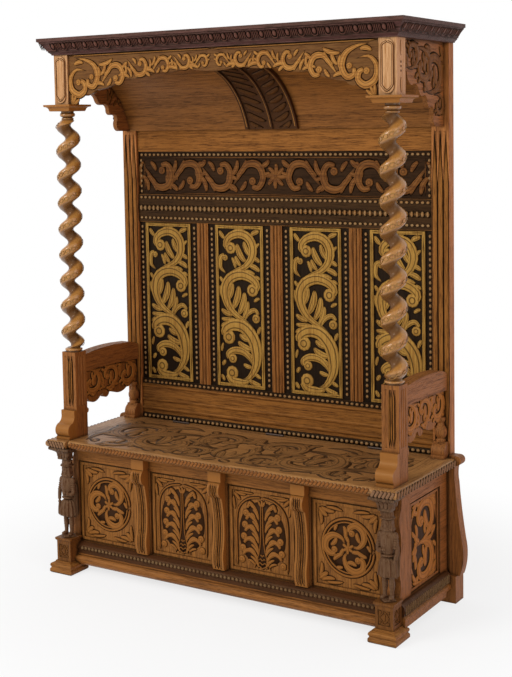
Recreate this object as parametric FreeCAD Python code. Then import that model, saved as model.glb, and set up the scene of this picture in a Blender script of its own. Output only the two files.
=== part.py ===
import FreeCAD, Part

import os

# A carved oak hall settle: a panelled box seat whose lid lifts on three butt hinges, with arms,
# twist columns and a coved hood. Millimetres. X runs left to right as seen from the front, +Z is
# up, and the settle faces -Y. The origin is on the floor, below the middle of the whole outline.
# Depths are written as distances ahead of the rear face, so 0 is the back and DEPTH is the front.

Vector = FreeCAD.Vector

# Driving dimensions
HEIGHT = 2000.0
DEPTH = 520.0
SEAT_TOP = 508.0
SEAT_THICK = 28.0
SEAT_HALF = 727.0
POST_OUT = 701.0
POST = 63.0
POST_FRONT = 441.0
POST_TOP = 831.0
REAR_POST_WIDE = 65.0
REAR_POST_DEEP = 39.0
HOOD_LOW = 1757.0
HOOD_HIGH = 1939.0
CORNICE_HALF = 746.0
CORNICE_FRONT = 486.0
CORNICE_FOOT_INSET = 39.0

# Seat, lid and hinges
LID_HALF = 633.0
LID_FRONT = 505.0
LID_REAR = 61.5
STRIP_FRONT = 58.5
END_INNER = 634.5
BED_LOW = 468.0
BED_HALF = 620.0
BATTEN_PITCH = 450.0
BATTEN_WIDE = 52.0
BATTEN_THICK = 18.0
BATTEN_REAR = 110.0
BATTEN_FRONT = 392.0
HINGE_AXIS_AHEAD = 60.0
HINGE_AXIS_Z = 512.0
HINGE_AT = (-430.0, 0.0, 430.0)
HINGE_LONG = 75.0
KNUCKLE_RADIUS = 3.8
KNUCKLE_GAP = 0.3
PIN_RADIUS = 2.0
PIN_CLEARANCE = 0.05
LEAF_THICK = 1.3
LEAF_LOW = 484.0
LEAF_HIGH = 507.5
SCREW_RADIUS = 1.6
SCREW_HEAD_RADIUS = 3.2
SCREW_LONG = 16.0

# Box below the seat
BOX_LOW = 30.0
BOX_FRONT = 435.0
BOX_HALF = 690.0
BOARD = 27.0
FIELD_LOW = 112.0
FIELD_HIGH = 422.0
BOX_PITCH = 336.0
BOX_MUNTIN_HALF = 30.0
STILE_INNER = 642.0
SIDE_STILE_REAR = 340.0
REAR_STILE_FRONT = 102.0
PLINTH_FRONT = 470.0
PLINTH_HALF = 715.0
PLINTH_HIGH = 71.0
FOOT_OUT = 723.0
FOOT = 103.0
FOOT_HIGH = 45.0
PEDESTAL_OUT = 702.0
PEDESTAL = 64.0
PEDESTAL_FRONT = 499.0
PEDESTAL_HIGH = 133.0
FIGURE_HIGH = 432.0
CONSOLE_HALF = 24.0
CONSOLE_HIGH = 432.0
CONSOLE_FLUTE = 3.0
REAR_FOOT_OUT = 732.0
REAR_FOOT_FRONT = 67.0
REAR_FOOT_HIGH = 95.0

# Arms
ARM_OUT = 692.0
ARM_IN = 646.0
ARM_LOW = 748.0
ARM_HIGH = 818.0
APRON_OUT = 680.0
APRON_IN = 660.0
APRON_LOW = 650.0

# Framed back
BACK_REAR = 4.0
BACK_FRONT = 30.0
PANEL_REAR = 11.0
PANEL_FRONT = 23.0
PANEL_TONGUE = 6.0
PANEL_PITCH = 332.0
BACK_MUNTIN_HALF = 25.0
BACK_LOW_RAIL_TOP = 667.0
BACK_MID_RAIL = (1296.0, 1405.0)
BACK_TOP_RAIL = (1573.0, 1655.0)
FIELD_BORDER_HALF = 107.0
BORDER_WIDE = 12.0
BEAD_OFFSET = 125.0
BEAD_RADIUS = 5.5
OVAL_BEAD_RADIUS = 13.0

# Twist columns
TWIST_PITCH = 97.0
TWIST_OFFSET = 16.0
TWIST_TUBE = 27.0
TWIST_LONG = 34.0
TWIST_PHASE = {"left": 104.0, "right": 343.0}
COLLAR_RADIUS = 27.5
COLLAR_HIGH = 33.0
BASE_RING_RADIUS = 30.0
BASE_RING_HIGH = 16.0
DOWEL_RADIUS = 12.0
DOWEL_LONG = 20.0
CAP_WIDE = 125.0
CAP_THICK = 24.0

# Hood
COVE_FRONT = 412.0
COVE_HIGH = 1892.0
COVE_THICK = 12.0
COVE_STAVES = 5
RIB_HALF = 112.0
RIB_THICK = 8.0
RIB_STRIP = 14.0
VALANCE_FRONT = 433.0
VALANCE_THICK = 18.0
VALANCE_OUT = 682.0
VALANCE_IN = 664.0
CANOPY_HALF = 692.0
CANOPY_FRONT = 430.0
CANOPY_THICK = 12.0

SEAT_LOW = SEAT_TOP - SEAT_THICK
POST_IN = POST_OUT - POST
POST_REAR = POST_FRONT - POST
POST_X = POST_OUT - POST / 2
POST_AHEAD = POST_FRONT - POST / 2
REAR_POST_IN = POST_OUT - REAR_POST_WIDE
CAP_LOW = HOOD_LOW - CAP_THICK
CANOPY_TOP = HOOD_HIGH + CANOPY_THICK
TENON_LONG = 18.0
TENON_THICK = 10.0
TENON_SHOULDER = 8.0

SIDES = {"left": -1, "right": 1}
PANEL_NAMES = ("outer_left", "inner_left", "inner_right", "outer_right")
MUNTIN_NAMES = ("left", "middle", "right")

PIECES = {}


# Drawing helpers


def y_of(ahead):
    """The Y coordinate of a distance ahead of the rear face."""
    return DEPTH / 2 - ahead


def side_view(ahead, z):
    return Vector(0, y_of(ahead), z)


def front_view(x, z):
    return Vector(x, 0, z)


def plan_view(x, ahead):
    return Vector(x, y_of(ahead), 0)


def block(x0, x1, ahead0, ahead1, z0, z1):
    """A box between two X values, two distances ahead of the rear face, and two heights."""
    return Part.makeBox(x1 - x0, ahead1 - ahead0, z1 - z0, Vector(x0, y_of(ahead1), z0))


def edge_run(view, start, steps):
    """Edges from start: a step (a, b) is a line, and (a, b, c, d) an arc through a, b to c, d."""
    edges = []
    last = start
    for step in steps:
        end = step[-2:]
        if len(step) == 4:
            curve = Part.Arc(view(*last), view(*step[:2]), view(*end))
        else:
            curve = Part.LineSegment(view(*last), view(*end))
        edges.append(curve.toShape())
        last = end
    return edges, last


def outline(view, start, *steps):
    """A flat face with the closed outline that runs from start through the steps and back."""
    edges, last = edge_run(view, start, steps)
    if last != start:
        edges.append(Part.LineSegment(view(*last), view(*start)).toShape())
    return Part.Face(Part.Wire(edges))


def across(face, x0, x1):
    """A side-view face carried from one X value to another."""
    moved = face.translated(Vector(x0, 0, 0))
    return moved.extrude(Vector(x1 - x0, 0, 0))


def forward(face, ahead0, ahead1):
    """A front-view face carried from one distance ahead of the rear face to another."""
    moved = face.translated(Vector(0, y_of(ahead0), 0))
    return moved.extrude(Vector(0, ahead0 - ahead1, 0))


def upward(face, z0, z1):
    """A plan-view face carried from one height to another."""
    moved = face.translated(Vector(0, 0, z0))
    return moved.extrude(Vector(0, 0, z1 - z0))


def rod(radius, x0, x1, ahead, z):
    """A round bar along X."""
    return Part.makeCylinder(radius, x1 - x0, Vector(x0, y_of(ahead), z), Vector(1, 0, 0))


def turned(x, ahead, start, *steps):
    """A solid turned about an upright axis from a half outline of (radius, z) steps."""
    face = outline(front_view, start, *steps)
    solid = face.revolve(Vector(0, 0, 0), Vector(0, 0, 1), 360)
    return solid.translated(Vector(x, y_of(ahead), 0))


def moulded(x0, x1, ahead0, ahead1, start, *steps):
    """A square block whose four sides all follow one profile of (inset, z) steps."""
    solids = []
    for low, high, view, carry in (
        (x0, x1, front_view, lambda face: forward(face, ahead0 - 1, ahead1 + 1)),
        (ahead0, ahead1, side_view, lambda face: across(face, x0 - 1, x1 + 1)),
    ):
        right, last = edge_run(lambda inset, z: view(high - inset, z), start, steps)
        left, last = edge_run(lambda inset, z: view(low + inset, z), start, steps)
        top = Part.LineSegment(view(high - last[0], last[1]), view(low + last[0], last[1]))
        foot = Part.LineSegment(view(high - start[0], start[1]), view(low + start[0], start[1]))
        edges = Part.sortEdges(right + left + [top.toShape(), foot.toShape()])[0]
        solids.append(carry(Part.Face(Part.Wire(edges))))
    return solids[0].common(solids[1])


def oval_loft(x, ahead, rings):
    """A smooth limb through level ovals of (dx, dahead, z, half width, half depth)."""
    wires = []
    for dx, dahead, z, half_wide, half_deep in rings:
        centre = Vector(x + dx, y_of(ahead + dahead), z)
        wide = max(half_wide, half_deep)
        narrow = min(half_wide, half_deep)
        axis = Vector(1, 0, 0) if half_wide >= half_deep else Vector(0, 1, 0)
        side = Vector(0, 0, 1).cross(axis)
        oval = Part.Ellipse(centre + axis * wide, centre + side * narrow, centre)
        wires.append(Part.Wire([oval.toShape()]))
    return Part.makeLoft(wires, True, False)


def joined(first, *others):
    """One solid fused from several that touch or overlap."""
    return first.fuse(list(others)).removeSplitter()


def carved(first, *others):
    """One solid fused from overlapping forms, whose faces are kept as they meet."""
    return first.fuse(list(others))


def on_side(side, solid):
    """The right-hand solid itself, or its mirror image for the left."""
    return solid if side > 0 else solid.mirror(Vector(0, 0, 0), Vector(1, 0, 0))


def pair(name, solid):
    """Keep a right-hand solid and its mirror image as two pieces."""
    for word, side in SIDES.items():
        PIECES[f"{name}_{word}"] = on_side(side, solid)


def fit(male, females, tenon):
    """Add a tenon to one piece, and cut its mortise from the pieces that it enters."""
    PIECES[male] = joined(PIECES[male], tenon)
    for female in females:
        PIECES[female] = PIECES[female].cut(tenon)


def let_in(male, females):
    """Cut the grooves that hold the edges of a piece."""
    for female in females:
        PIECES[female] = PIECES[female].cut(PIECES[male])


# Front feet, pedestals and figures


def make_feet():
    foot = moulded(
        FOOT_OUT - FOOT, FOOT_OUT, DEPTH - FOOT, DEPTH,
        (4, 0), (0, 4), (0, 14), (4, 19), (4, 22), (1, 30, 7, 37), (16, 41), (16, FOOT_HIGH),
    )
    pair("front_foot", foot.cut(block(0, BOX_HALF, 0, BOX_FRONT, BOX_LOW, FOOT_HIGH)))


def make_pedestals():
    inner = PEDESTAL_OUT - PEDESTAL
    rear = PEDESTAL_FRONT - PEDESTAL
    cap_low = PEDESTAL_HIGH - 13
    margin = 10
    recess = 3
    shaft = block(inner, PEDESTAL_OUT, rear, PEDESTAL_FRONT, FOOT_HIGH, cap_low)
    low = FOOT_HIGH + 13
    high = PEDESTAL_HIGH - 24
    shaft = shaft.cut(
        block(inner + margin, PEDESTAL_OUT - margin, PEDESTAL_FRONT - recess, PEDESTAL_FRONT, low, high)
    )
    shaft = shaft.cut(
        block(PEDESTAL_OUT - recess, PEDESTAL_OUT, rear + margin, PEDESTAL_FRONT - margin, low, high)
    )
    cap = moulded(
        inner - 5, PEDESTAL_OUT + 5, rear, PEDESTAL_FRONT + 5,
        (5, cap_low), (0, cap_low + 6), (0, PEDESTAL_HIGH),
    )
    pair("pedestal", joined(shaft, cap))


def make_figures():
    """A standing man in a hat, belted tunic and boots, one hand at the waist and a cape behind."""
    x = PEDESTAL_OUT - PEDESTAL / 2
    ahead = PEDESTAL_FRONT - PEDESTAL / 2
    foot = PEDESTAL_HIGH
    plinth = block(x - 30, x + 30, ahead - 28, ahead + 30, foot, foot + 7)
    limbs = []
    for dx in (-13, 13):
        leg = ((0, 2, foot + 5, 8, 11), (0, 0, foot + 40, 8, 9), (0, 0, foot + 95, 10, 11))
        boot = ((0, 9, foot + 6, 8, 17), (0, 7, foot + 14, 8, 14), (0, 2, foot + 24, 7, 9))
        limbs.append(oval_loft(x + dx, ahead, leg))
        limbs.append(oval_loft(x + dx, ahead, boot))
    skirt = oval_loft(
        x, ahead,
        ((0, 0, foot + 80, 29, 23), (0, 0, foot + 115, 26, 21), (0, 0, foot + 152, 19, 15)),
    )
    torso = oval_loft(
        x, ahead,
        (
            (0, 0, foot + 150, 19, 15), (0, 1, foot + 190, 24, 18),
            (0, 0, foot + 222, 27, 16), (0, 0, foot + 237, 13, 11),
        ),
    )
    head = oval_loft(
        x, ahead,
        (
            (0, 0, foot + 232, 9, 9), (0, 2, foot + 246, 15, 15),
            (0, 2, foot + 264, 17, 17), (0, 1, foot + 280, 13, 14),
        ),
    )
    brim = foot + 270
    hat = turned(
        x, ahead, (0, brim), (26, brim), (26, brim + 7), (17, brim + 11), (15, FIGURE_HIGH), (0, FIGURE_HIGH),
    )
    cape = oval_loft(
        x, ahead - 14,
        ((0, 0, foot + 62, 27, 9), (0, 0, foot + 140, 28, 9), (0, 3, foot + 225, 25, 8)),
    )
    for out in (-1, 1):
        shoulder = Vector(x + out * 22, y_of(ahead), foot + 220)
        elbow = Vector(x + out * 30, y_of(ahead + 3), foot + 180)
        hand = Vector(x + out * 7, y_of(ahead + 22), foot + 172)
        limbs.append(Part.makeSphere(9, shoulder))
        for start, end in ((shoulder, elbow), (elbow, hand)):
            limb = end - start
            limbs.append(Part.makeCone(8.5, 6.5, limb.Length, start, limb))
            limbs.append(Part.makeSphere(7.6, end))
    pair("figure", carved(plinth, skirt, torso, head, hat, cape, *limbs))
    capital = moulded(
        x - 47, x + 47, BOX_FRONT, DEPTH - 3,
        (24, FIGURE_HIGH), (24, FIGURE_HIGH + 12), (21, FIGURE_HIGH + 27, 6, FIGURE_HIGH + 36),
        (0, FIGURE_HIGH + 40), (0, SEAT_LOW),
    )
    pair("figure_capital", capital)


# Box below the seat


def make_box_frame():
    stile = block(STILE_INNER, BOX_HALF, SIDE_STILE_REAR, BOX_FRONT, BOX_LOW, SEAT_LOW)
    stile = stile.cut(
        block(STILE_INNER, BOX_HALF - BOARD, SIDE_STILE_REAR, BOX_FRONT - BOARD, BOX_LOW, SEAT_LOW)
    )
    wave = outline(
        side_view, (BOX_FRONT + 1, BOX_LOW + 85), (BOX_FRONT - 8, BOX_LOW + 85),
        (BOX_FRONT - 20, 150, BOX_FRONT - 16, 190), (BOX_FRONT - 11, 230, BOX_FRONT - 18, 270),
        (BOX_FRONT - 26, 310, BOX_FRONT - 18, 350), (BOX_FRONT - 12, 375, BOX_FRONT - 20, 410),
        (BOX_FRONT - 30, 440, BOX_FRONT - 16, SEAT_LOW), (BOX_FRONT + 1, SEAT_LOW),
    )
    inner = BOX_HALF - BOARD
    pair("box_corner_stile", stile.cut(across(wave, inner + 1, BOX_HALF + 1)))
    rear = BOX_FRONT - BOARD
    PIECES["box_rail_top"] = block(-STILE_INNER, STILE_INNER, rear, BOX_FRONT, FIELD_HIGH, SEAT_LOW)
    PIECES["box_rail_bottom"] = block(-STILE_INNER, STILE_INNER, rear, BOX_FRONT, BOX_LOW, FIELD_LOW)
    tenon_rear = rear + TENON_SHOULDER
    tenon_front = tenon_rear + TENON_THICK
    half = BOX_MUNTIN_HALF - TENON_SHOULDER
    for index, word in enumerate(MUNTIN_NAMES):
        x = (index - 1) * BOX_PITCH
        name = f"box_muntin_{word}"
        PIECES[name] = block(x - BOX_MUNTIN_HALF, x + BOX_MUNTIN_HALF, rear, BOX_FRONT, FIELD_LOW, FIELD_HIGH)
        for rail, z0, z1 in (
            ("box_rail_top", FIELD_HIGH, FIELD_HIGH + TENON_LONG),
            ("box_rail_bottom", FIELD_LOW - TENON_LONG, FIELD_LOW),
        ):
            fit(name, [rail], block(x - half, x + half, tenon_rear, tenon_front, z0, z1))
    side_rail = (inner, BOX_HALF, REAR_STILE_FRONT, SIDE_STILE_REAR)
    pair("box_side_rail_top", block(*side_rail, FIELD_HIGH, SEAT_LOW))
    pair("box_side_rail_bottom", block(*side_rail, BOX_LOW, FIELD_LOW))
    pair("box_rear_stile", block(inner, BOX_HALF, REAR_POST_DEEP, REAR_STILE_FRONT, BOX_LOW, SEAT_LOW))
    thick = (inner + TENON_SHOULDER, inner + TENON_SHOULDER + TENON_THICK)
    for word, side in SIDES.items():
        corner = [f"box_corner_stile_{word}"]
        for rail, z0, z1 in (
            ("top", FIELD_HIGH + TENON_SHOULDER, SEAT_LOW - TENON_SHOULDER),
            ("bottom", BOX_LOW + TENON_SHOULDER, FIELD_LOW - TENON_SHOULDER),
        ):
            tenon = block(STILE_INNER, STILE_INNER + TENON_LONG, tenon_rear, tenon_front, z0, z1)
            fit(f"box_rail_{rail}", corner, on_side(side, tenon))
            name = f"box_side_rail_{rail}_{word}"
            ahead = block(*thick, SIDE_STILE_REAR, SIDE_STILE_REAR + TENON_LONG, z0, z1)
            fit(name, corner, on_side(side, ahead))
            behind = block(*thick, REAR_STILE_FRONT - TENON_LONG, REAR_STILE_FRONT, z0, z1)
            fit(name, [f"box_rear_stile_{word}"], on_side(side, behind))


def make_box_panels():
    rear = BOX_FRONT - BOARD + 7
    front = rear + 11
    reach = BOX_PITCH / 2 - BOX_MUNTIN_HALF
    for index, word in enumerate(PANEL_NAMES):
        x = (index - 1.5) * BOX_PITCH
        slab = block(
            x - reach - PANEL_TONGUE, x + reach + PANEL_TONGUE, rear, front,
            FIELD_LOW - PANEL_TONGUE, FIELD_HIGH + PANEL_TONGUE,
        )
        border = block(x - reach + 8, x + reach - 8, front, front + 5, FIELD_LOW + 7, FIELD_HIGH - 7)
        field = block(x - reach + 18, x + reach - 18, front, front + 5, FIELD_LOW + 17, FIELD_HIGH - 17)
        name = f"box_panel_{word}"
        PIECES[name] = joined(slab, border.cut(field))
        beside = [f"box_muntin_{MUNTIN_NAMES[at]}" for at in (index - 1, index) if 0 <= at < 3]
        if index == 0:
            beside.append("box_corner_stile_left")
        if index == 3:
            beside.append("box_corner_stile_right")
        let_in(name, ["box_rail_top", "box_rail_bottom", *beside])
    inner = BOX_HALF - BOARD + 7
    outer = inner + 11
    slab = block(
        inner, outer, REAR_STILE_FRONT - PANEL_TONGUE, SIDE_STILE_REAR + PANEL_TONGUE,
        FIELD_LOW - PANEL_TONGUE, FIELD_HIGH + PANEL_TONGUE,
    )
    borders = []
    for margin in (7, 15):
        borders.append(block(
            outer, outer + 5, REAR_STILE_FRONT + margin, SIDE_STILE_REAR - margin,
            FIELD_LOW + margin, FIELD_HIGH - margin,
        ))
    pair("side_panel", joined(slab, borders[0].cut(borders[1])))
    for word in SIDES:
        around = ("box_corner_stile", "box_rear_stile", "box_side_rail_top", "box_side_rail_bottom")
        let_in(f"side_panel_{word}", [f"{name}_{word}" for name in around])


def make_box_boards():
    PIECES["box_back_board"] = block(-REAR_POST_IN, REAR_POST_IN, 6, 24, BOX_LOW, SEAT_LOW)
    PIECES["box_bottom_board"] = block(
        -STILE_INNER + 6, STILE_INNER - 6, 24, BOX_FRONT - BOARD + 8, BOX_LOW + 14, BOX_LOW + 30
    )
    let_in("box_bottom_board", ["box_rail_bottom"])


def make_base_mouldings():
    inner = PEDESTAL_OUT - PEDESTAL
    torus = outline(
        side_view, (BOX_FRONT, BOX_LOW), (PLINTH_FRONT - 12, BOX_LOW), (PLINTH_FRONT - 6, BOX_LOW + 5),
        (PLINTH_FRONT + 2, BOX_LOW + 20, PLINTH_FRONT - 8, PLINTH_HIGH - 6),
        (PLINTH_FRONT - 14, PLINTH_HIGH - 6),
        (PLINTH_FRONT - 14, PLINTH_HIGH), (BOX_FRONT, PLINTH_HIGH),
    )
    PIECES["plinth_front"] = across(torus, -inner, inner)
    beads = outline(
        side_view, (BOX_FRONT, PLINTH_HIGH), (PLINTH_FRONT - 14, PLINTH_HIGH),
        (PLINTH_FRONT - 14, PLINTH_HIGH + 14),
        (PLINTH_FRONT - 10, PLINTH_HIGH + 24, PLINTH_FRONT - 16, PLINTH_HIGH + 34),
        (BOX_FRONT + 6, FIELD_LOW), (BOX_FRONT, FIELD_LOW),
    )
    PIECES["base_moulding_front"] = across(beads, -inner, inner)
    rear = REAR_FOOT_FRONT
    board = outline(
        front_view, (BOX_HALF, BOX_LOW), (PLINTH_HALF - 8, BOX_LOW), (PLINTH_HALF, BOX_LOW + 6),
        (PLINTH_HALF, PLINTH_HIGH - 6), (PLINTH_HALF - 6, PLINTH_HIGH), (BOX_HALF, PLINTH_HIGH),
    )
    side = forward(board, rear, BOX_FRONT)
    step = outline(
        side_view, (rear, BOX_LOW), (rear + 62, BOX_LOW), (rear + 46, 38, rear + 40, 52), (rear, 52),
    )
    pair("plinth_side", side.cut(across(step, BOX_HALF, PLINTH_HALF + 1)))
    gadroon = outline(
        front_view, (BOX_HALF, PLINTH_HIGH), (PLINTH_HALF - 6, PLINTH_HIGH),
        (PLINTH_HALF - 2, PLINTH_HIGH + 14),
        (PLINTH_HALF - 3, PLINTH_HIGH + 28, PLINTH_HALF - 15, FIELD_LOW), (BOX_HALF, FIELD_LOW),
    )
    pair("base_moulding_side", forward(gadroon, rear, BOX_FRONT))
    for word in SIDES:
        let_in(f"front_foot_{word}", ["plinth_front", f"plinth_side_{word}"])


def make_consoles():
    foot = FIELD_LOW
    scroll = outline(
        side_view, (BOX_FRONT, foot), (BOX_FRONT + 16, foot),
        (BOX_FRONT + 23, foot + 35, BOX_FRONT + 17, foot + 85),
        (BOX_FRONT + 13, foot + 180, BOX_FRONT + 27, foot + 262),
        (BOX_FRONT + 47, foot + 296, BOX_FRONT + 30, CONSOLE_HIGH), (BOX_FRONT, CONSOLE_HIGH),
    )
    sunk = scroll.translated(Vector(0, CONSOLE_FLUTE, 0))
    half = CONSOLE_HALF
    leaf = across(scroll, -half, half)
    room = block(-half, half, BOX_FRONT + 8, DEPTH, foot + 4, CONSOLE_HIGH - 30)
    for dx in (-12, 0, 12):
        skin = across(scroll, dx - 2, dx + 2).cut(across(sunk, dx - 3, dx + 3))
        leaf = leaf.cut(skin.common(room))
    head = block(-half - 3, half + 3, BOX_FRONT, BOX_FRONT + 36, CONSOLE_HIGH, BED_LOW)
    console = joined(leaf, head)
    for index, word in enumerate(MUNTIN_NAMES):
        PIECES[f"seat_console_{word}"] = console.translated(Vector((index - 1) * BOX_PITCH, 0, 0))


def make_rear_supports():
    low = block(REAR_POST_IN, REAR_FOOT_OUT, 0, REAR_FOOT_FRONT, 0, BOX_LOW)
    high = block(BOX_HALF, REAR_FOOT_OUT, 0, REAR_FOOT_FRONT, BOX_LOW, REAR_FOOT_HIGH)
    high = high.cut(block(BOX_HALF, POST_OUT, 0, REAR_POST_DEEP, BOX_LOW, REAR_FOOT_HIGH))
    pair("rear_foot", joined(low, high))
    curve = outline(
        front_view, (POST_OUT, REAR_FOOT_HIGH), (740, REAR_FOOT_HIGH), (752, 155, 746, 225),
        (731, 330, 722, 420), (719, 455, 723, 484), (744, 499, 727, 517), (POST_OUT, 517),
    )
    pair("rear_bracket", forward(curve, 8, 48))


# Seat and lid


def make_seat():
    nose = SEAT_THICK / 2
    middle = SEAT_TOP - nose
    lid = outline(
        side_view, (LID_REAR, SEAT_LOW), (LID_FRONT - nose, SEAT_LOW),
        (LID_FRONT, middle, LID_FRONT - nose, SEAT_TOP), (LID_REAR, SEAT_TOP),
    )
    PIECES["seat_lid"] = across(lid, -LID_HALF, LID_HALF)
    mould = outline(
        side_view, (BOX_FRONT + 2, BED_LOW), (LID_FRONT - 36, BED_LOW),
        (LID_FRONT - 30, SEAT_LOW - 5, LID_FRONT - 20, SEAT_LOW), (BOX_FRONT + 2, SEAT_LOW),
    )
    PIECES["lid_bed_mould"] = across(mould, -BED_HALF, BED_HALF)
    half = BATTEN_WIDE / 2
    for index, word in enumerate(MUNTIN_NAMES):
        x = (index - 1) * BATTEN_PITCH
        bar = block(x - half, x + half, BATTEN_REAR, BATTEN_FRONT, SEAT_LOW - BATTEN_THICK, SEAT_LOW)
        PIECES[f"lid_batten_{word}"] = bar
    end = block(END_INNER, SEAT_HALF, 0, LID_FRONT, SEAT_LOW, SEAT_TOP)
    corner = block(END_INNER, SEAT_HALF, LID_FRONT - 2, DEPTH, SEAT_LOW, SEAT_TOP)
    slab = joined(end, corner)
    round_up = [
        edge
        for edge in slab.Edges
        if edge.CenterOfMass.x > SEAT_HALF - 1 or edge.CenterOfMass.y < y_of(DEPTH) + 1
        if abs(edge.tangentAt(edge.FirstParameter).z) < 0.5
        if edge.Length > 20
    ]
    slab = slab.makeFillet(nose - 1.5, round_up)
    slab = slab.cut(block(END_INNER - 1, POST_OUT, -1, REAR_POST_DEEP, SEAT_LOW, SEAT_TOP))
    slab = slab.cut(block(POST_OUT - 1, SEAT_HALF + 1, -1, 50, SEAT_LOW, SEAT_TOP))
    pair("seat_end", slab)
    PIECES["seat_rear_strip"] = block(-END_INNER, END_INNER, BACK_REAR, STRIP_FRONT, SEAT_LOW, SEAT_TOP)


def knuckle_spans(x, wanted):
    """The X spans of the knuckles of one leaf, out of five along the hinge."""
    long = HINGE_LONG / 5
    for index in range(5):
        if index % 2 == wanted:
            low = x - HINGE_LONG / 2 + index * long
            yield low + KNUCKLE_GAP / 2, low + long - KNUCKLE_GAP / 2


def make_leaf(x, wanted, ahead0, ahead1):
    plate = block(x - HINGE_LONG / 2, x + HINGE_LONG / 2, ahead0, ahead1, LEAF_LOW, LEAF_HIGH)
    solids = []
    for low, high in knuckle_spans(x, wanted):
        solids.append(block(low, high, ahead0, ahead1, LEAF_HIGH, HINGE_AXIS_Z))
        solids.append(rod(KNUCKLE_RADIUS, low, high, HINGE_AXIS_AHEAD, HINGE_AXIS_Z))
    bore = rod(PIN_RADIUS + PIN_CLEARANCE, x - HINGE_LONG, x + HINGE_LONG, HINGE_AXIS_AHEAD, HINGE_AXIS_Z)
    return joined(plate, *solids).cut(bore)


def make_screw(x, z, face, inward):
    """A countersunk wood screw whose head is flush with the leaf and whose shank runs inward."""
    start = Vector(x, y_of(face), z)
    aim = Vector(0, -inward, 0)
    head = Part.makeCone(SCREW_HEAD_RADIUS, SCREW_RADIUS, LEAF_THICK, start, aim)
    shank = Part.makeCylinder(SCREW_RADIUS, SCREW_LONG, start, aim)
    return joined(head, shank)


def make_hinges():
    for number, x in enumerate(HINGE_AT, 1):
        fixed = f"hinge_frame_leaf_{number}"
        moving = f"hinge_lid_leaf_{number}"
        PIECES[fixed] = make_leaf(x, 0, STRIP_FRONT, STRIP_FRONT + LEAF_THICK)
        PIECES[moving] = make_leaf(x, 1, LID_REAR - LEAF_THICK, LID_REAR)
        reach = HINGE_LONG / 2 + 1.5
        PIECES[f"hinge_pin_{number}"] = rod(PIN_RADIUS, x - reach, x + reach, HINGE_AXIS_AHEAD, HINGE_AXIS_Z)
        for index, dx in enumerate((-27.0, 0.0, 27.0), 1):
            z = (LEAF_LOW + LEAF_HIGH) / 2
            screw = f"hinge_frame_screw_{number}_{index}"
            PIECES[screw] = make_screw(x + dx, z, STRIP_FRONT + LEAF_THICK, -1)
            let_in(screw, [fixed, "seat_rear_strip"])
            screw = f"hinge_lid_screw_{number}_{index}"
            PIECES[screw] = make_screw(x + dx, z, LID_REAR - LEAF_THICK, 1)
            let_in(screw, [moving, "seat_lid"])


# Posts, scrolls and arms


def fluted(solid, x0, x1, ahead, z0, z1):
    """Round flutes cut up the front face of a post, between two X values."""
    count = 3
    step = (x1 - x0) / count
    for index in range(count):
        x = x0 + (index + 0.5) * step
        flute = Part.makeCylinder(step * 0.36, z1 - z0, Vector(x, y_of(ahead + step * 0.2), z0))
        solid = solid.cut(flute)
    return solid


def make_front_posts():
    post = block(POST_IN, POST_OUT, POST_REAR, POST_FRONT, SEAT_TOP, POST_TOP)
    low = SEAT_TOP + 118
    high = POST_TOP - 14
    post = fluted(post, POST_IN + 8, POST_OUT - 8, POST_FRONT, low, high)
    for x in (POST_IN - 3.2, POST_OUT + 3.2):
        for index in range(3):
            ahead = POST_REAR + 8 + (index + 0.5) * (POST - 16) / 3
            post = post.cut(Part.makeCylinder(5.5, high - low, Vector(x, y_of(ahead), low)))
    bump = outline(
        side_view, (POST_REAR, SEAT_TOP + 84), (POST_REAR - 8, SEAT_TOP + 92, POST_REAR, SEAT_TOP + 104),
    )
    post = joined(post, across(bump, POST_IN, POST_OUT))
    pair("front_post", post)
    scroll = outline(
        side_view, (POST_FRONT, SEAT_TOP), (POST_FRONT + 46, SEAT_TOP), (POST_FRONT + 46, SEAT_TOP + 9),
        (POST_FRONT + 40, SEAT_TOP + 12), (POST_FRONT + 51, SEAT_TOP + 36, POST_FRONT + 30, SEAT_TOP + 58),
        (POST_FRONT + 18, SEAT_TOP + 68, POST_FRONT + 14, SEAT_TOP + 88),
        (POST_FRONT + 14, SEAT_TOP + 104), (POST_FRONT, SEAT_TOP + 104),
    )
    pair("post_scroll", across(scroll, POST_IN, POST_OUT))
    for word, side in SIDES.items():
        tenon = block(POST_X - 12, POST_X + 12, POST_AHEAD - 12, POST_AHEAD + 12, SEAT_TOP - 20, SEAT_TOP)
        fit(f"front_post_{word}", [f"seat_end_{word}"], on_side(side, tenon))


def make_rear_posts():
    post = block(REAR_POST_IN, POST_OUT, 0, REAR_POST_DEEP, BOX_LOW, HOOD_HIGH)
    post = fluted(post, REAR_POST_IN + 7, POST_OUT - 7, REAR_POST_DEEP, ARM_HIGH + 20, 1640)
    pair("rear_post", post)
    for word, side in SIDES.items():
        tenon = block(REAR_POST_IN + 20, REAR_POST_IN + 45, 8, 26, BOX_LOW - TENON_LONG, BOX_LOW)
        fit(f"rear_post_{word}", [f"rear_foot_{word}"], on_side(side, tenon))


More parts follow.
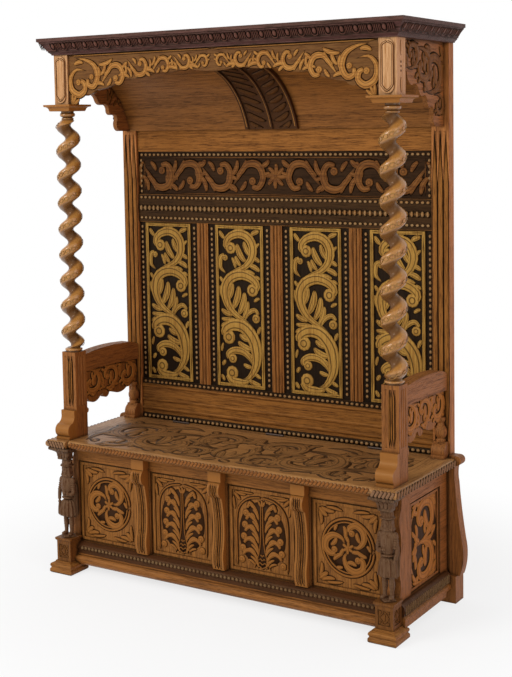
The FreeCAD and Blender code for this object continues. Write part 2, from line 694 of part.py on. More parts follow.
def make_arms():
    rail = outline(
        side_view, (POST_REAR, ARM_LOW), (POST_REAR, ARM_HIGH - 4), (220, ARM_HIGH + 8, 110, ARM_HIGH + 3),
        (70, ARM_HIGH - 3, REAR_POST_DEEP, ARM_HIGH - 18), (REAR_POST_DEEP, ARM_LOW - 4),
        (200, ARM_LOW + 3, POST_REAR, ARM_LOW),
    )
    pair("arm", across(rail, ARM_IN, ARM_OUT))
    apron = outline(
        side_view, (POST_REAR, ARM_LOW), (POST_REAR, 640), (352, 641), (310, 618, 268, 641), (256, 644),
        (237, 624, 217, 641), (205, 646), (160, 628, 112, 638), (96, APRON_LOW),
        (REAR_POST_DEEP, APRON_LOW),
        (REAR_POST_DEEP, ARM_LOW - 4), (200, ARM_LOW + 3, POST_REAR, ARM_LOW),
    )
    pair("arm_apron", across(apron, APRON_IN, APRON_OUT))
    rear = REAR_POST_DEEP
    low = SEAT_TOP + 56
    foot = outline(
        side_view, (rear, SEAT_TOP), (rear + 43, SEAT_TOP), (rear + 43, SEAT_TOP + 8),
        (rear + 36, SEAT_TOP + 12), (rear + 36, SEAT_TOP + 34, rear + 20, SEAT_TOP + 50),
        (rear + 20, low), (rear, low),
    )
    x = (APRON_IN + APRON_OUT) / 2
    baluster = turned(
        x, rear + 8, (0, low), (17, low), (17, low + 6), (12, low + 12), (22, low + 34, 13, low + 56),
        (10, low + 66), (16, low + 76), (16, APRON_LOW), (0, APRON_LOW),
    )
    baluster = baluster.common(block(x - 30, x + 30, rear, rear + 40, low, APRON_LOW))
    pair("rear_scroll", joined(across(foot, x - 25, x + 25), baluster))
    for word, side in SIDES.items():
        thick = (APRON_IN + 2, APRON_IN + 2 + TENON_THICK + 4)
        ahead = block(*thick, POST_REAR, POST_REAR + TENON_LONG, ARM_LOW + 10, ARM_HIGH - 14)
        behind = block(*thick, REAR_POST_DEEP - TENON_LONG, REAR_POST_DEEP, ARM_LOW + 10, ARM_HIGH - 26)
        fit(f"arm_{word}", [f"front_post_{word}"], on_side(side, ahead))
        fit(f"arm_{word}", [f"rear_post_{word}"], on_side(side, behind))


# Twist columns and hood corners


def twist_rope(x, phase, low, high):
    """A rope wound right-handed about an upright axis: its level section is an oval that turns."""
    centre = Vector(TWIST_OFFSET, 0, 0)
    oval = Part.Ellipse(centre + Vector(0, TWIST_LONG, 0), centre - Vector(TWIST_TUBE, 0, 0), centre)
    section = Part.Wire([oval.toShape()])
    spine = Part.Wire([Part.makeLine(Vector(0, 0, 0), Vector(0, 0, high - low))])
    guide = Part.Wire(Part.makeHelix(TWIST_PITCH, high - low, 2 * TWIST_TUBE).Edges)
    sweep = Part.BRepOffsetAPI.MakePipeShell(spine)
    sweep.setAuxiliarySpine(guide, False, 0)
    sweep.add(section)
    sweep.build()
    sweep.makeSolid()
    rope = sweep.shape()
    rope.rotate(Vector(0, 0, 0), Vector(0, 0, 1), phase + 360 * low / TWIST_PITCH)
    rope.translate(Vector(x, y_of(POST_AHEAD), low))
    return rope


def make_column(x, phase):
    """A barley-twist column: a wound rope with turned ends and dowels."""
    low = POST_TOP
    high = CAP_LOW
    rope = twist_rope(x, phase, low, high)
    turn_low = low + BASE_RING_HIGH
    turn_high = high - COLLAR_HIGH
    full = TWIST_OFFSET + TWIST_TUBE + 1
    envelope = turned(
        x, POST_AHEAD, (0, turn_low - 2), (22, turn_low - 2), (36, turn_low + 12, full, turn_low + 46),
        (full, turn_high - 46), (36, turn_high - 12, 20, turn_high + 2), (0, turn_high + 2),
    )
    ring = turned(
        x, POST_AHEAD, (0, low), (27, low), (27, low + 4), (BASE_RING_RADIUS + 3, low + 9, 27, low + 13),
        (24, low + BASE_RING_HIGH), (0, low + BASE_RING_HIGH),
    )
    collar = turned(
        x, POST_AHEAD, (0, turn_high), (18, turn_high), (23, turn_high + 5, 18, turn_high + 9),
        (20, turn_high + 11), (COLLAR_RADIUS + 1, turn_high + 20, 21, high - 5), (24, high - 5),
        (24, high), (0, high),
    )
    foot_at = Vector(x, y_of(POST_AHEAD), low - DOWEL_LONG)
    head_at = Vector(x, y_of(POST_AHEAD), high)
    foot_dowel = Part.makeCylinder(DOWEL_RADIUS, DOWEL_LONG, foot_at)
    head_dowel = Part.makeCylinder(DOWEL_RADIUS, DOWEL_LONG + CAP_THICK, head_at)
    return joined(rope.common(envelope), ring, collar, foot_dowel, head_dowel)


def make_columns():
    for word, side in SIDES.items():
        name = f"column_{word}"
        PIECES[name] = make_column(side * POST_X, TWIST_PHASE[word])
        let_in(name, [f"front_post_{word}", f"cap_plate_{word}", f"upper_block_{word}"])


def make_hood_corners():
    half = CAP_WIDE / 2
    cap = moulded(
        POST_X - half, POST_X + half, POST_AHEAD - half, POST_AHEAD + half,
        (16, CAP_LOW), (14, CAP_LOW + 5), (11, CAP_LOW + 12, 4, HOOD_LOW - 8),
        (0, HOOD_LOW - 7), (0, HOOD_LOW),
    )
    pair("cap_plate", cap)
    solid = block(POST_IN, POST_OUT, POST_REAR, POST_FRONT, HOOD_LOW, HOOD_HIGH)
    tongue = outline(
        front_view, (POST_IN + 9, HOOD_LOW + 24), (POST_X, HOOD_LOW + 6, POST_OUT - 9, HOOD_LOW + 24),
        (POST_OUT - 9, HOOD_HIGH - 22), (POST_X, HOOD_HIGH - 6, POST_IN + 9, HOOD_HIGH - 22),
    )
    solid = joined(solid, forward(tongue, POST_FRONT - 1, POST_FRONT + 5))
    pair("upper_block", solid)


# Hood


def cove_arc(offset):
    """Start, middle and end of the cove's face, moved out from it by an offset."""
    return (
        (REAR_POST_DEEP + 1 - offset, BACK_TOP_RAIL[1]),
        (150 - offset * 0.8, 1821 + offset * 0.6),
        (COVE_FRONT, COVE_HIGH + offset),
    )


def cove_sheet(near, far):
    """The side view of a bent sheet between two offsets from the cove's face."""
    a, b, c = cove_arc(near)
    d, e, f = cove_arc(far)
    return outline(side_view, a, (*b, *c), f, (*e, *d))


def cove_wedges():
    """Wedges from the middle of the cove's arc, one for each of the staves that it is glued from."""
    arc = Part.Arc(*[Vector(ahead, z, 0) for ahead, z in cove_arc(0)]).toShape()
    middle = arc.Curve.Center
    rays = [middle + (point - middle) * 1.3 for point in arc.discretize(COVE_STAVES + 1)]
    rays[0] += (rays[0] - rays[1]) / 2
    rays[-1] += (rays[-1] - rays[-2]) / 2
    for start, end in zip(rays, rays[1:]):
        corners = [(point.x, point.y) for point in (middle, start, end)]
        yield across(outline(side_view, *corners), -POST_OUT, POST_OUT)


def make_hood():
    scallops = outline(
        front_view, (-POST_IN, HOOD_HIGH), (-POST_IN, HOOD_LOW + 6), (-624, HOOD_LOW + 1, -607, 1764),
        (-604, 1786, -570, 1800), (-545, 1792, -515, 1806), (-450, 1818, -380, 1845),
        (-320, 1844, -245, 1863), (-180, 1860, -112, 1871), (0, 1858, 112, 1871), (180, 1860, 245, 1863),
        (320, 1844, 380, 1845), (450, 1818, 515, 1806), (545, 1792, 570, 1800), (604, 1786, 607, 1764),
        (624, HOOD_LOW + 1, POST_IN, HOOD_LOW + 6), (POST_IN, HOOD_HIGH),
    )
    PIECES["front_valance"] = forward(scallops, VALANCE_FRONT - VALANCE_THICK, VALANCE_FRONT)
    side = outline(
        side_view, (POST_REAR, HOOD_HIGH), (POST_REAR, 1834), (350, 1842, 328, 1832), (318, 1806, 286, 1792),
        (262, 1796, 240, 1780), (226, 1762, 196, 1760), (182, 1757, 170, 1742), (166, 1726, 140, 1722),
        (124, 1716, 122, 1694), (120, 1668, 104, 1656), (REAR_POST_DEEP, 1656), (REAR_POST_DEEP, HOOD_HIGH),
    )
    pair("side_valance", across(side, VALANCE_IN, VALANCE_OUT))
    cove = across(cove_sheet(0, COVE_THICK), -VALANCE_IN, VALANCE_IN)
    for side in SIDES.values():
        rear_room = block(REAR_POST_IN, POST_OUT, 0, REAR_POST_DEEP, BOX_LOW, HOOD_HIGH)
        front_room = block(POST_IN, POST_OUT, POST_REAR, POST_FRONT, HOOD_LOW, HOOD_HIGH)
        cove = cove.cut(on_side(side, rear_room)).cut(on_side(side, front_room))
    for number, wedge in enumerate(cove_wedges(), 1):
        PIECES[f"cove_stave_{number}"] = cove.common(wedge)
    plate = across(cove_sheet(-RIB_THICK, 0), -RIB_HALF, RIB_HALF)
    half = RIB_STRIP / 2
    proud = cove_sheet(-RIB_THICK - 6, -RIB_THICK)
    strips = [across(proud, x - half, x + half) for x in (half - RIB_HALF, 0, RIB_HALF - half)]
    PIECES["cove_rib"] = joined(plate, *strips)
    PIECES["canopy_board"] = block(-CANOPY_HALF, CANOPY_HALF, 0, CANOPY_FRONT, HOOD_HIGH, CANOPY_TOP)


def make_cornice():
    """An egg-and-dart crown in three lengths, mitred at the front corners."""
    rise = HOOD_HIGH
    foot = CORNICE_FOOT_INSET
    profile = (
        (foot, rise + 3), (35, rise + 7, 30, rise + 11), (30, rise + 15), (26, rise + 15), (26, rise + 19),
        (19, rise + 30, 6, rise + 44), (6, rise + 47), (0, rise + 49), (0, HEIGHT),
    )

    def set_out(edge):
        """The profile's steps, measured in from an outer edge."""
        return [tuple(edge - v if at % 2 == 0 else v for at, v in enumerate(step)) for step in profile]

    side_face = outline(
        side_view, (-1, rise), (CORNICE_FRONT - foot, rise), *set_out(CORNICE_FRONT), (-1, HEIGHT),
    )
    half_face = outline(
        front_view, (0, rise), (CORNICE_HALF - foot, rise), *set_out(CORNICE_HALF), (0, HEIGHT),
    )
    crown = across(side_face, -CORNICE_HALF - 1, CORNICE_HALF + 1)
    half = forward(half_face, 0, CORNICE_FRONT + 1)
    crown = crown.common(joined(half, half.mirror(Vector(0, 0, 0), Vector(1, 0, 0))))
    crown = crown.cut(block(-CANOPY_HALF, CANOPY_HALF, -2, CANOPY_FRONT, rise - 1, HEIGHT + 1))
    reach = CORNICE_HALF + 40
    corner = CORNICE_HALF - CORNICE_FRONT
    wedge = outline(plan_view, (corner, 0), (reach, reach - corner), (-reach, reach - corner), (-corner, 0))
    wedge = upward(wedge, rise - 1, HEIGHT + 1)
    PIECES["cornice_front"] = crown.common(wedge)
    for solid in crown.cut(wedge).Solids:
        word = "left" if solid.CenterOfMass.x < 0 else "right"
        PIECES[f"cornice_{word}"] = solid


# Framed back


def make_back():
    tenon_thick = (BACK_REAR + TENON_SHOULDER, BACK_REAR + TENON_SHOULDER + TENON_THICK)
    levels = (
        ("low", SEAT_TOP, BACK_LOW_RAIL_TOP), ("mid", *BACK_MID_RAIL), ("top", *BACK_TOP_RAIL),
    )
    for word, z0, z1 in levels:
        name = f"back_rail_{word}"
        PIECES[name] = block(-REAR_POST_IN, REAR_POST_IN, BACK_REAR, BACK_FRONT, z0, z1)
        for post, side in SIDES.items():
            tenon = block(REAR_POST_IN, REAR_POST_IN + TENON_LONG, *tenon_thick, z0 + 12, z1 - 12)
            fit(name, [f"rear_post_{post}"], on_side(side, tenon))
    low_rail = PIECES["back_rail_low"]
    for z0, z1, proud in ((632, 644, 6), (576, 590, 4), (540, 556, 7), (SEAT_TOP, 527, 5)):
        ridge = outline(
            side_view, (BACK_FRONT, z0), (BACK_FRONT + proud, (z0 + z1) / 2, BACK_FRONT, z1)
        )
        low_rail = joined(low_rail, across(ridge, -REAR_POST_IN, REAR_POST_IN))
    PIECES["back_rail_low"] = low_rail
    low = BACK_LOW_RAIL_TOP
    high = BACK_MID_RAIL[0]
    half = BACK_MUNTIN_HALF
    for index, word in enumerate(MUNTIN_NAMES):
        x = (index - 1) * PANEL_PITCH
        name = f"back_muntin_{word}"
        muntin = block(x - half, x + half, BACK_REAR, BACK_FRONT, low, high)
        for dx in (-14, 0, 14):
            reed = Part.makeCylinder(6, high - low, Vector(x + dx, y_of(BACK_FRONT - 1), low))
            muntin = joined(muntin, reed)
        PIECES[name] = muntin
        for rail, z0, z1 in (("mid", high, high + TENON_LONG), ("low", low - TENON_LONG, low)):
            tenon = block(x - half + TENON_SHOULDER, x + half - TENON_SHOULDER, *tenon_thick, z0, z1)
            fit(name, [f"back_rail_{rail}"], tenon)


def make_back_panels():
    reach = PANEL_PITCH / 2 - BACK_MUNTIN_HALF
    low = BACK_LOW_RAIL_TOP
    high = BACK_MID_RAIL[0]
    for index, word in enumerate(PANEL_NAMES):
        x = (index - 1.5) * PANEL_PITCH
        name = f"back_panel_{word}"
        left = x - reach - PANEL_TONGUE
        right = x + reach + PANEL_TONGUE
        slab = block(left, right, PANEL_REAR, PANEL_FRONT, low - PANEL_TONGUE, high + PANEL_TONGUE)
        half = FIELD_BORDER_HALF
        border = block(x - half, x + half, PANEL_FRONT, PANEL_FRONT + 6, low + 4, high - 4)
        half -= BORDER_WIDE
        field = block(
            x - half, x + half, PANEL_FRONT, PANEL_FRONT + 6, low + 4 + BORDER_WIDE, high - 4 - BORDER_WIDE
        )
        PIECES[name] = joined(slab, border.cut(field))
        beside = [f"back_muntin_{MUNTIN_NAMES[at]}" for at in (index - 1, index) if 0 <= at < 3]
        if index == 0:
            beside.append("rear_post_left")
        if index == 3:
            beside.append("rear_post_right")
        let_in(name, ["back_rail_low", "back_rail_mid", *beside])
    PIECES["frieze_panel"] = block(
        -REAR_POST_IN - PANEL_TONGUE, REAR_POST_IN + PANEL_TONGUE, PANEL_REAR, PANEL_FRONT,
        BACK_MID_RAIL[1] - PANEL_TONGUE, BACK_TOP_RAIL[0] + PANEL_TONGUE,
    )
    let_in("frieze_panel", ["back_rail_mid", "back_rail_top", "rear_post_left", "rear_post_right"])


def make_back_mouldings():
    """Pearl strings round the panels and along the rails, and one larger oval bead."""
    rows = (
        ("bead_frieze_top", 1561.0, BEAD_RADIUS, PANEL_FRONT),
        ("bead_frieze_low", 1393.0, BEAD_RADIUS, BACK_FRONT),
        ("bead_oval", 1352.0, OVAL_BEAD_RADIUS, BACK_FRONT),
        ("bead_panel_top", 1313.0, BEAD_RADIUS, BACK_FRONT),
        ("bead_panel_low", 656.0, BEAD_RADIUS, BACK_FRONT),
    )
    for name, z, radius, ahead in rows:
        bar = rod(radius, -REAR_POST_IN, REAR_POST_IN, ahead, z)
        room = block(-REAR_POST_IN, REAR_POST_IN, ahead, ahead + radius, z - radius, z + radius)
        PIECES[name] = bar.common(room)
    for index, word in enumerate(PANEL_NAMES):
        x = (index - 1.5) * PANEL_PITCH
        for hand, dx in (("left", -BEAD_OFFSET), ("right", BEAD_OFFSET)):
            low = BACK_LOW_RAIL_TOP
            long = BACK_MID_RAIL[0] - low
            bar = Part.makeCylinder(BEAD_RADIUS, long, Vector(x + dx, y_of(PANEL_FRONT), low))
            side = BEAD_RADIUS
            room = block(x + dx - side, x + dx + side, PANEL_FRONT, PANEL_FRONT + side, low, low + long)
            PIECES[f"bead_{word}_{hand}"] = bar.common(room)


def both(name):
    return [f"{name}_left", f"{name}_right"]


def named(prefix):
    return [name for name in PIECES if name.startswith(prefix)]


def build():
    make_feet()
    make_pedestals()
    make_figures()
    make_box_frame()
    make_box_panels()
    make_box_boards()
    make_base_mouldings()
    make_consoles()
    make_rear_supports()
    make_seat()
    make_hinges()
    make_front_posts()
    make_rear_posts()
    make_arms()
    make_hood_corners()
    make_columns()
    make_hood()
    make_cornice()
    make_back()
    make_back_panels()
    make_back_mouldings()


def nodes():
    """Each node's pieces: one node for a piece of its own, and one for a set of like pieces."""
    groups = {
        "front_feet": both("front_foot"),
        "pedestals": both("pedestal"),
        "figure_capitals": both("figure_capital"),
        "box_corner_stiles": both("box_corner_stile"),
        "rear_feet": both("rear_foot"),
        "rear_brackets": both("rear_bracket"),
        "plinth_mouldings": ["plinth_front", *both("plinth_side")],
        "base_mouldings": ["base_moulding_front", *both("base_moulding_side")],
        "box_front_rails": ["box_rail_top", "box_rail_bottom"],
        "box_muntins": named("box_muntin_"),
        "seat_consoles": named("seat_console_"),
        "box_side_frames": [
            *both("box_side_rail_top"), *both("box_side_rail_bottom"), *both("box_rear_stile"),
        ],
        "lid_battens": named("lid_batten_"),
        "hinge_frame_leaves": named("hinge_frame_leaf_"),
        "hinge_lid_leaves": named("hinge_lid_leaf_"),
        "hinge_pins": named("hinge_pin_"),
        "hinge_frame_screws": named("hinge_frame_screw_"),
        "hinge_lid_screws": named("hinge_lid_screw_"),
        "post_scrolls": both("post_scroll"),
        "arm_aprons": both("arm_apron"),
        "rear_scrolls": both("rear_scroll"),
        "cap_plates": both("cap_plate"),
        "upper_blocks": both("upper_block"),
        "side_valances": both("side_valance"),
        "cornice": ["cornice_front", *both("cornice")],
        "cove_board": named("cove_stave_"),
        "back_rails": named("back_rail_"),
        "back_muntins": named("back_muntin_"),
        "back_mouldings": named("bead_"),
    }
    grouped = {piece for pieces in groups.values() for piece in pieces}
    for name in PIECES:
        if name not in grouped:
            groups[name] = [name]
    return groups


def write():
    os.makedirs("parts", exist_ok=True)
    groups = nodes()
    for node, pieces in sorted(groups.items()):
        solids = []
        for piece in pieces:
            found = PIECES[piece].Solids
            if len(found) != 1 or not found[0].isValid():
                print(f"{piece}: {len(found)} solids, valid {[solid.isValid() for solid in found]}")
            solids.extend(found)
        shape = solids[0] if len(solids) == 1 else Part.makeCompound(solids)
        shape.exportStep(f"parts/{node}.step")
    whole = Part.makeCompound([solid for piece in PIECES.values() for solid in piece.Solids])
    box = whole.optimalBoundingBox(False, False)
    print(f"{len(groups)} nodes, {len(PIECES)} pieces")
    for axis, low, high in (("X", box.XMin, box.XMax), ("Y", box.YMin, box.YMax), ("Z", box.ZMin, box.ZMax)):
        print(f"{axis} {low:.1f} to {high:.1f}")


if __name__ == "__main__":
    build()
    write()
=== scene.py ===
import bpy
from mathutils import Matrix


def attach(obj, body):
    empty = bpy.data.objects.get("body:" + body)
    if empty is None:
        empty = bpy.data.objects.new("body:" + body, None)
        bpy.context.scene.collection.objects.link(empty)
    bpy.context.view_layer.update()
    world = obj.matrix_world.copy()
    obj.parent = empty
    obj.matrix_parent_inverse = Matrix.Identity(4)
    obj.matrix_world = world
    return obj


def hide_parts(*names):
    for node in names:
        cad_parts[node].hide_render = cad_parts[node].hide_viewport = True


bl_info = {
    "name": "Canopied Hall Settle",
    "version": (1, 0, 0),
    "blender": (4, 5, 0),
    "location": "3D View > Sidebar > Settle",
    "description": "Carved oak finishes, relief, beads and figures for a canopied hall settle",
    "category": "Add Mesh",
}

import math

import bmesh
import bpy
from mathutils import Matrix, Vector
from mathutils.bvhtree import BVHTree

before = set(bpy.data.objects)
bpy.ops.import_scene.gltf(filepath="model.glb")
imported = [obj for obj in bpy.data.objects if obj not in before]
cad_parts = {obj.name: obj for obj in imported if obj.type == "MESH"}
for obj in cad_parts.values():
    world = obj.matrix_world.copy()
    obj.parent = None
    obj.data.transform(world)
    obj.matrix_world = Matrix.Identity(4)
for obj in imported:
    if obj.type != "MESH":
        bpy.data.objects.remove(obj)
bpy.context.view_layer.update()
BODY = "settle"
LID = "lid"
MM = 0.001
SUNK = 0.0004
REAR = 260.0

# Places in millimetres, ahead of the rear face, out from the middle or up from the floor

SLAB_AHEAD = 23
BORDER_AHEAD = 29
RAIL_AHEAD = 30
PANEL_PITCH = 332
BOX_PITCH = 336
BOX_SLAB_AHEAD = 426
VALANCE_AHEAD = 433
VALANCE_TOP = 1939
SEAT_TOP = 507.9
SEAT_MIDDLE_AHEAD = 285
SEAT_EDGE_Z = 494
FRIEZE_MIDDLE = 1480
BOX_MIDDLE = 267
FIGURE_X = 670
FIGURE_AHEAD = 467
PEDESTAL_TOP = 133
COLUMN_X = 669.5
COLUMN_AHEAD = 409.5
TWIST_PITCH = 97
TWIST_ROUND = 270
TWIST_LOW = 858.0
TWIST_HIGH = 1690
RING_PITCH = 8.1
EGG_Z = 1970
EGG_LEAN = 32
REED_PITCH = 13
COVE_ARC = ((40.0, 1655.0), (150.0, 1821.0), (412.0, 1892.0))
RIB_THICK = 8
RIB_END_AHEAD = 411
RIB_FOOT = 1656

FRONT = ((1, 0, 0), (0, 0, 1))
RIGHT = ((0, 1, 0), (0, 0, 1))
LEFT = ((0, -1, 0), (0, 0, 1))
ABOVE = ((1, 0, 0), (0, 1, 0))
SIDES = ((1, "right", RIGHT), (-1, "left", LEFT))
HANDS = (1, -1)
CORNERS = ((1, 1), (1, -1), (-1, 1), (-1, -1))
PANEL_NAMES = ("outer_left", "inner_left", "inner_right", "outer_right")


# Sizes and colours that a user may change


def number(name, description, default, **more):
    return bpy.props.FloatProperty(name=name, description=description, default=default, **more)


def length(name, description, default):
    return number(name, description, default, unit="LENGTH", precision=4)


def angle(name, description, default):
    return number(name, description, math.radians(default), subtype="ANGLE", unit="ROTATION")


def colour(name, description, default):
    return bpy.props.FloatVectorProperty(
        name=name, description=description, default=default, size=3, min=0.0, max=1.0, subtype="COLOR"
    )


class SettleCarving(bpy.types.PropertyGroup):
    """Heights and spacings of the carved work."""

    panel_relief: length("Panel relief", "Height of the scrolls on the back panels", 0.006)
    frieze_relief: length("Frieze relief", "Height of the scrolls on the frieze", 0.006)
    box_relief: length("Box relief", "Height of the carving on the box panels", 0.007)
    seat_relief: length("Seat relief", "Height of the flat scrolls on the seat", 0.0022)
    hood_relief: length("Hood relief", "Height of the scrolls on the valances", 0.006)
    pearl_pitch: length("Pearl pitch", "Distance between small pearls", 0.0203)
    seat_pearl_pitch: length("Seat pearl pitch", "Distance between the pearls above the seat", 0.0203)
    egg_pitch: length("Egg pitch", "Distance between the eggs of the cornice", 0.05)
    gadroon_pitch: length("Gadroon pitch", "Distance between the slanted reeds of the seat's edge", 0.0135)
    base_bead_pitch: length("Base bead pitch", "Distance between the round beads of the base", 0.0165)


class SettleColours(bpy.types.PropertyGroup):
    """Colours of the oak, from the rubbed parts to the blackened grounds."""

    gold: colour("Gold", "Rubbed raised carving of the back panels", (0.40, 0.215, 0.045))
    gold_dark: colour("Dark gold", "Dark grain of the back panels' carving", (0.20, 0.085, 0.018))
    honey: colour("Honey", "Rubbed parts of the box", (0.27, 0.105, 0.022))
    honey_light: colour("Light honey", "Rubbed parts of the hood", (0.42, 0.19, 0.045))
    tan: colour("Tan", "Palest rubbed blocks", (0.52, 0.28, 0.13))
    russet: colour("Russet", "Raised carving of the frieze", (0.20, 0.075, 0.018))
    pearl: colour("Pearl", "Rubbed tops of the pearls", (0.30, 0.18, 0.08))
    bead: colour("Bead", "Rubbed tops of the base's beads", (0.17, 0.10, 0.045))
    egg: colour("Egg", "Rubbed tops of the cornice's eggs", (0.13, 0.052, 0.036))
    frame_light: colour("Frame light", "Light grain of the frame", (0.27, 0.10, 0.022))
    frame_dark: colour("Frame dark", "Dark grain of the frame", (0.062, 0.020, 0.006))
    red_light: colour("Red light", "Light grain of the sides", (0.27, 0.10, 0.026))
    red_dark: colour("Red dark", "Dark grain of the sides", (0.075, 0.024, 0.009))
    ground: colour("Ground", "Blackened ground of the carving", (0.010, 0.005, 0.003))
    brown_ground: colour("Brown ground", "Darkened ground of the box carving", (0.030, 0.011, 0.004))
    seat_light: colour("Seat light", "Worn raised parts of the seat", (0.36, 0.17, 0.054))
    seat_dark: colour("Seat dark", "Darker grain of the seat", (0.12, 0.052, 0.020))
    seat_ground: colour("Seat ground", "Cut lines of the seat", (0.050, 0.024, 0.011))
    # Painted shade colour for the twist columns' necks and their downward-facing undersides.
    rope_shade: colour("Rope shade", "Painted shade in the columns' necks and undersides", (0.12, 0.050, 0.016))
    cornice: colour("Cornice", "Raised parts of the cornice", (0.082, 0.032, 0.030))
    figure: colour("Figure", "Raised parts of the figures", (0.125, 0.065, 0.034))


class SettleStage(bpy.types.PropertyGroup):
    """Camera and lamps."""

    camera_x: length("Camera X", "Camera's place to the right", 2.4822)
    camera_y: length("Camera Y", "Camera's place in depth", -3.8561)
    camera_z: length("Camera Z", "Camera's height", 1.6663)
    yaw: angle("Yaw", "Turn of the camera about the upright", 32.164)
    pitch: angle("Pitch", "Camera's look down", 4.612)
    roll: angle("Roll", "Camera's lean", 0.918)
    shift: number("Shift", "Rise of the lens", -0.16)
    lens: number("Lens", "Focal length in millimetres", 68.5)
    key_power: number("Key", "Strength of the front lamp", 150.0, unit="POWER")
    fill_power: number("Fill", "Strength of the side lamp", 30.0, unit="POWER")
    sky: number("Sky", "Strength of the light all round", 0.62)


# Placing and drawing carved work


def carving():
    """An empty mesh whose points say how high they stand and how far across their leaf they are."""
    bm = bmesh.new()
    bm.verts.layers.float.new("rise")
    bm.verts.layers.float.new("across")
    return bm


def set_on(x, ahead, z, view, hand=1):
    """The matrix that carries work drawn in right, up and out onto a face seen from its own side.

    The place is in millimetres, ahead of the rear face. A hand of -1 mirrors the work.
    """
    right = Vector(view[0])
    up = Vector(view[1])
    turn = Matrix((right, up, right.cross(up))).transposed().to_4x4()
    place = Matrix.Translation(Vector((x, REAR - ahead, z)) * MM)
    return place @ turn @ Matrix.Diagonal((hand, 1, 1, 1))


def stamp(target, source, matrix):
    """Adds a copy of some carving to a piece, carried there by a matrix."""
    copy = bpy.data.meshes.new("stamp")
    source.to_mesh(copy)
    copy.transform(matrix)
    if matrix.determinant() < 0:
        copy.flip_normals()
    target.from_mesh(copy)
    bpy.data.meshes.remove(copy)


def fix(target, drawn, *places):
    """Adds a drawing to a piece at each of some places, and clears the drawing away."""
    for place in places:
        stamp(target, drawn, place)
    drawn.free()
    return target


def keep(name, bm, finish, body=BODY, replaced=(), smooth=True):
    """Makes a finished piece that rides on a body."""
    bmesh.ops.recalc_face_normals(bm, faces=bm.faces)
    mesh = bpy.data.meshes.new(name)
    bm.to_mesh(mesh)
    bm.free()
    mesh.polygons.foreach_set("use_smooth", [smooth] * len(mesh.polygons))
    mesh.materials.append(finish)
    piece = bpy.data.objects.new(name, mesh)
    bpy.context.scene.collection.objects.link(piece)
    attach(piece, body)
    if replaced:
        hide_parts(*replaced)
    return piece


def bow(start, end, bulge):
    """A bowed line between two points."""
    a = Vector(start)
    b = Vector(end)
    middle = (a + b) / 2 + Vector((a.y - b.y, b.x - a.x)) * bulge
    return lambda t: a * (1 - t) ** 2 + middle * (2 * t * (1 - t)) + b * t ** 2


def through(points):
    """A smooth line through some points."""
    knots = [Vector(point) for point in points]
    knots = [knots[0] * 2 - knots[1], *knots, knots[-1] * 2 - knots[-2]]

    def at(t):
        span = min(len(knots) - 4, int(t * (len(knots) - 3)))
        u = t * (len(knots) - 3) - span
        a, b, c, d = knots[span:span + 4]
        square = (a * 2 - b * 5 + c * 4 - d) * u * u
        cube = (b * 3 - a - c * 3 + d) * u ** 3
        return (b * 2 + (c - a) * u + square + cube) / 2

    return at


def pointed(t):
    """Both ends run to a point."""
    return (4 * t * (1 - t)) ** 0.65


def horn(t):
    """A root that runs to a point and a broad blunt end."""
    return min(1.0, (t / 0.42) ** 0.8) * (1 - 0.4 * max(0.0, (t - 0.5) / 0.5) ** 1.5)


def even(t):
    return 1.0


def rounded(bm, sides, rings, put):
    """Adds a closed round form whose points are put in their places, from pole to pole, by a function."""
    small = carving()
    rise = small.verts.layers.float["rise"]
    across = small.verts.layers.float["across"]
    for vert in bmesh.ops.create_uvsphere(small, u_segments=sides, v_segments=rings, radius=1.0)["verts"]:
        vert.co, vert[rise], vert[across] = put(vert.co.copy())
    fix(bm, small, Matrix.Identity(4))


def ridge(bm, line, half_width, height, shape, rings, crease=0.3, top=1.0):
    """A closed ridge along a line, creased down its middle like a leaf's vein."""
    known = {}

    def put(co):
        level = round(co.z, 5)
        if level not in known:
            t = math.acos(max(-1.0, min(1.0, -co.z))) / math.pi
            way = line(min(1.0, t + 0.01)) - line(max(0.0, t - 0.01))
            at_end = math.hypot(co.x, co.y) < 1e-4
            known[level] = line(t), Vector((-way.y, way.x)).normalized(), 0.0 if at_end else shape(t)
        here, side, swell = known[level]
        turn = math.atan2(co.y, co.x)
        up = math.sin(turn)
        if up > 0.9:
            up -= crease
        out = up * height * min(1.0, swell * 1.5) if up > 0 else up * SUNK
        spread = math.cos(turn) * half_width * swell
        place = Vector((here.x + side.x * spread, here.y + side.y * spread, out))
        return place, min(1.0, max(0.0, out) / height) * top, abs(math.cos(turn))

    rounded(bm, 8, rings, put)


def boss(bm, middle, half_wide, half_high, height, sides=10, rings=7, top=1.0):
    """A rounded button, oval or bead on the ground."""

    def put(co):
        out = co.z * (height if co.z > 0 else SUNK)
        place = Vector((middle[0] + co.x * half_wide, middle[1] + co.y * half_high, out))
        return place, max(0.0, co.z) * top, min(1.0, math.hypot(co.x, co.y))

    rounded(bm, sides, rings, put)


def surface(node):
    """A CAD node's faces, for finding where a line from outside meets them."""
    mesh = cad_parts[node].data
    points = [vert.co for vert in mesh.vertices]
    return BVHTree.FromPolygons(points, [tuple(face.vertices) for face in mesh.polygons])


def drape(bm, faces, out, least):
    """Lets carving that was drawn flat sink onto the curved face behind it, but no deeper than least."""
    way = Vector(out)
    for vert in bm.verts:
        height = vert.co.dot(way)
        start = vert.co - way * (height - 2)
        found = faces.ray_cast(start, -way, 2 - least)[0]
        vert.co = (found or start - way * (2 - least)) + way * height


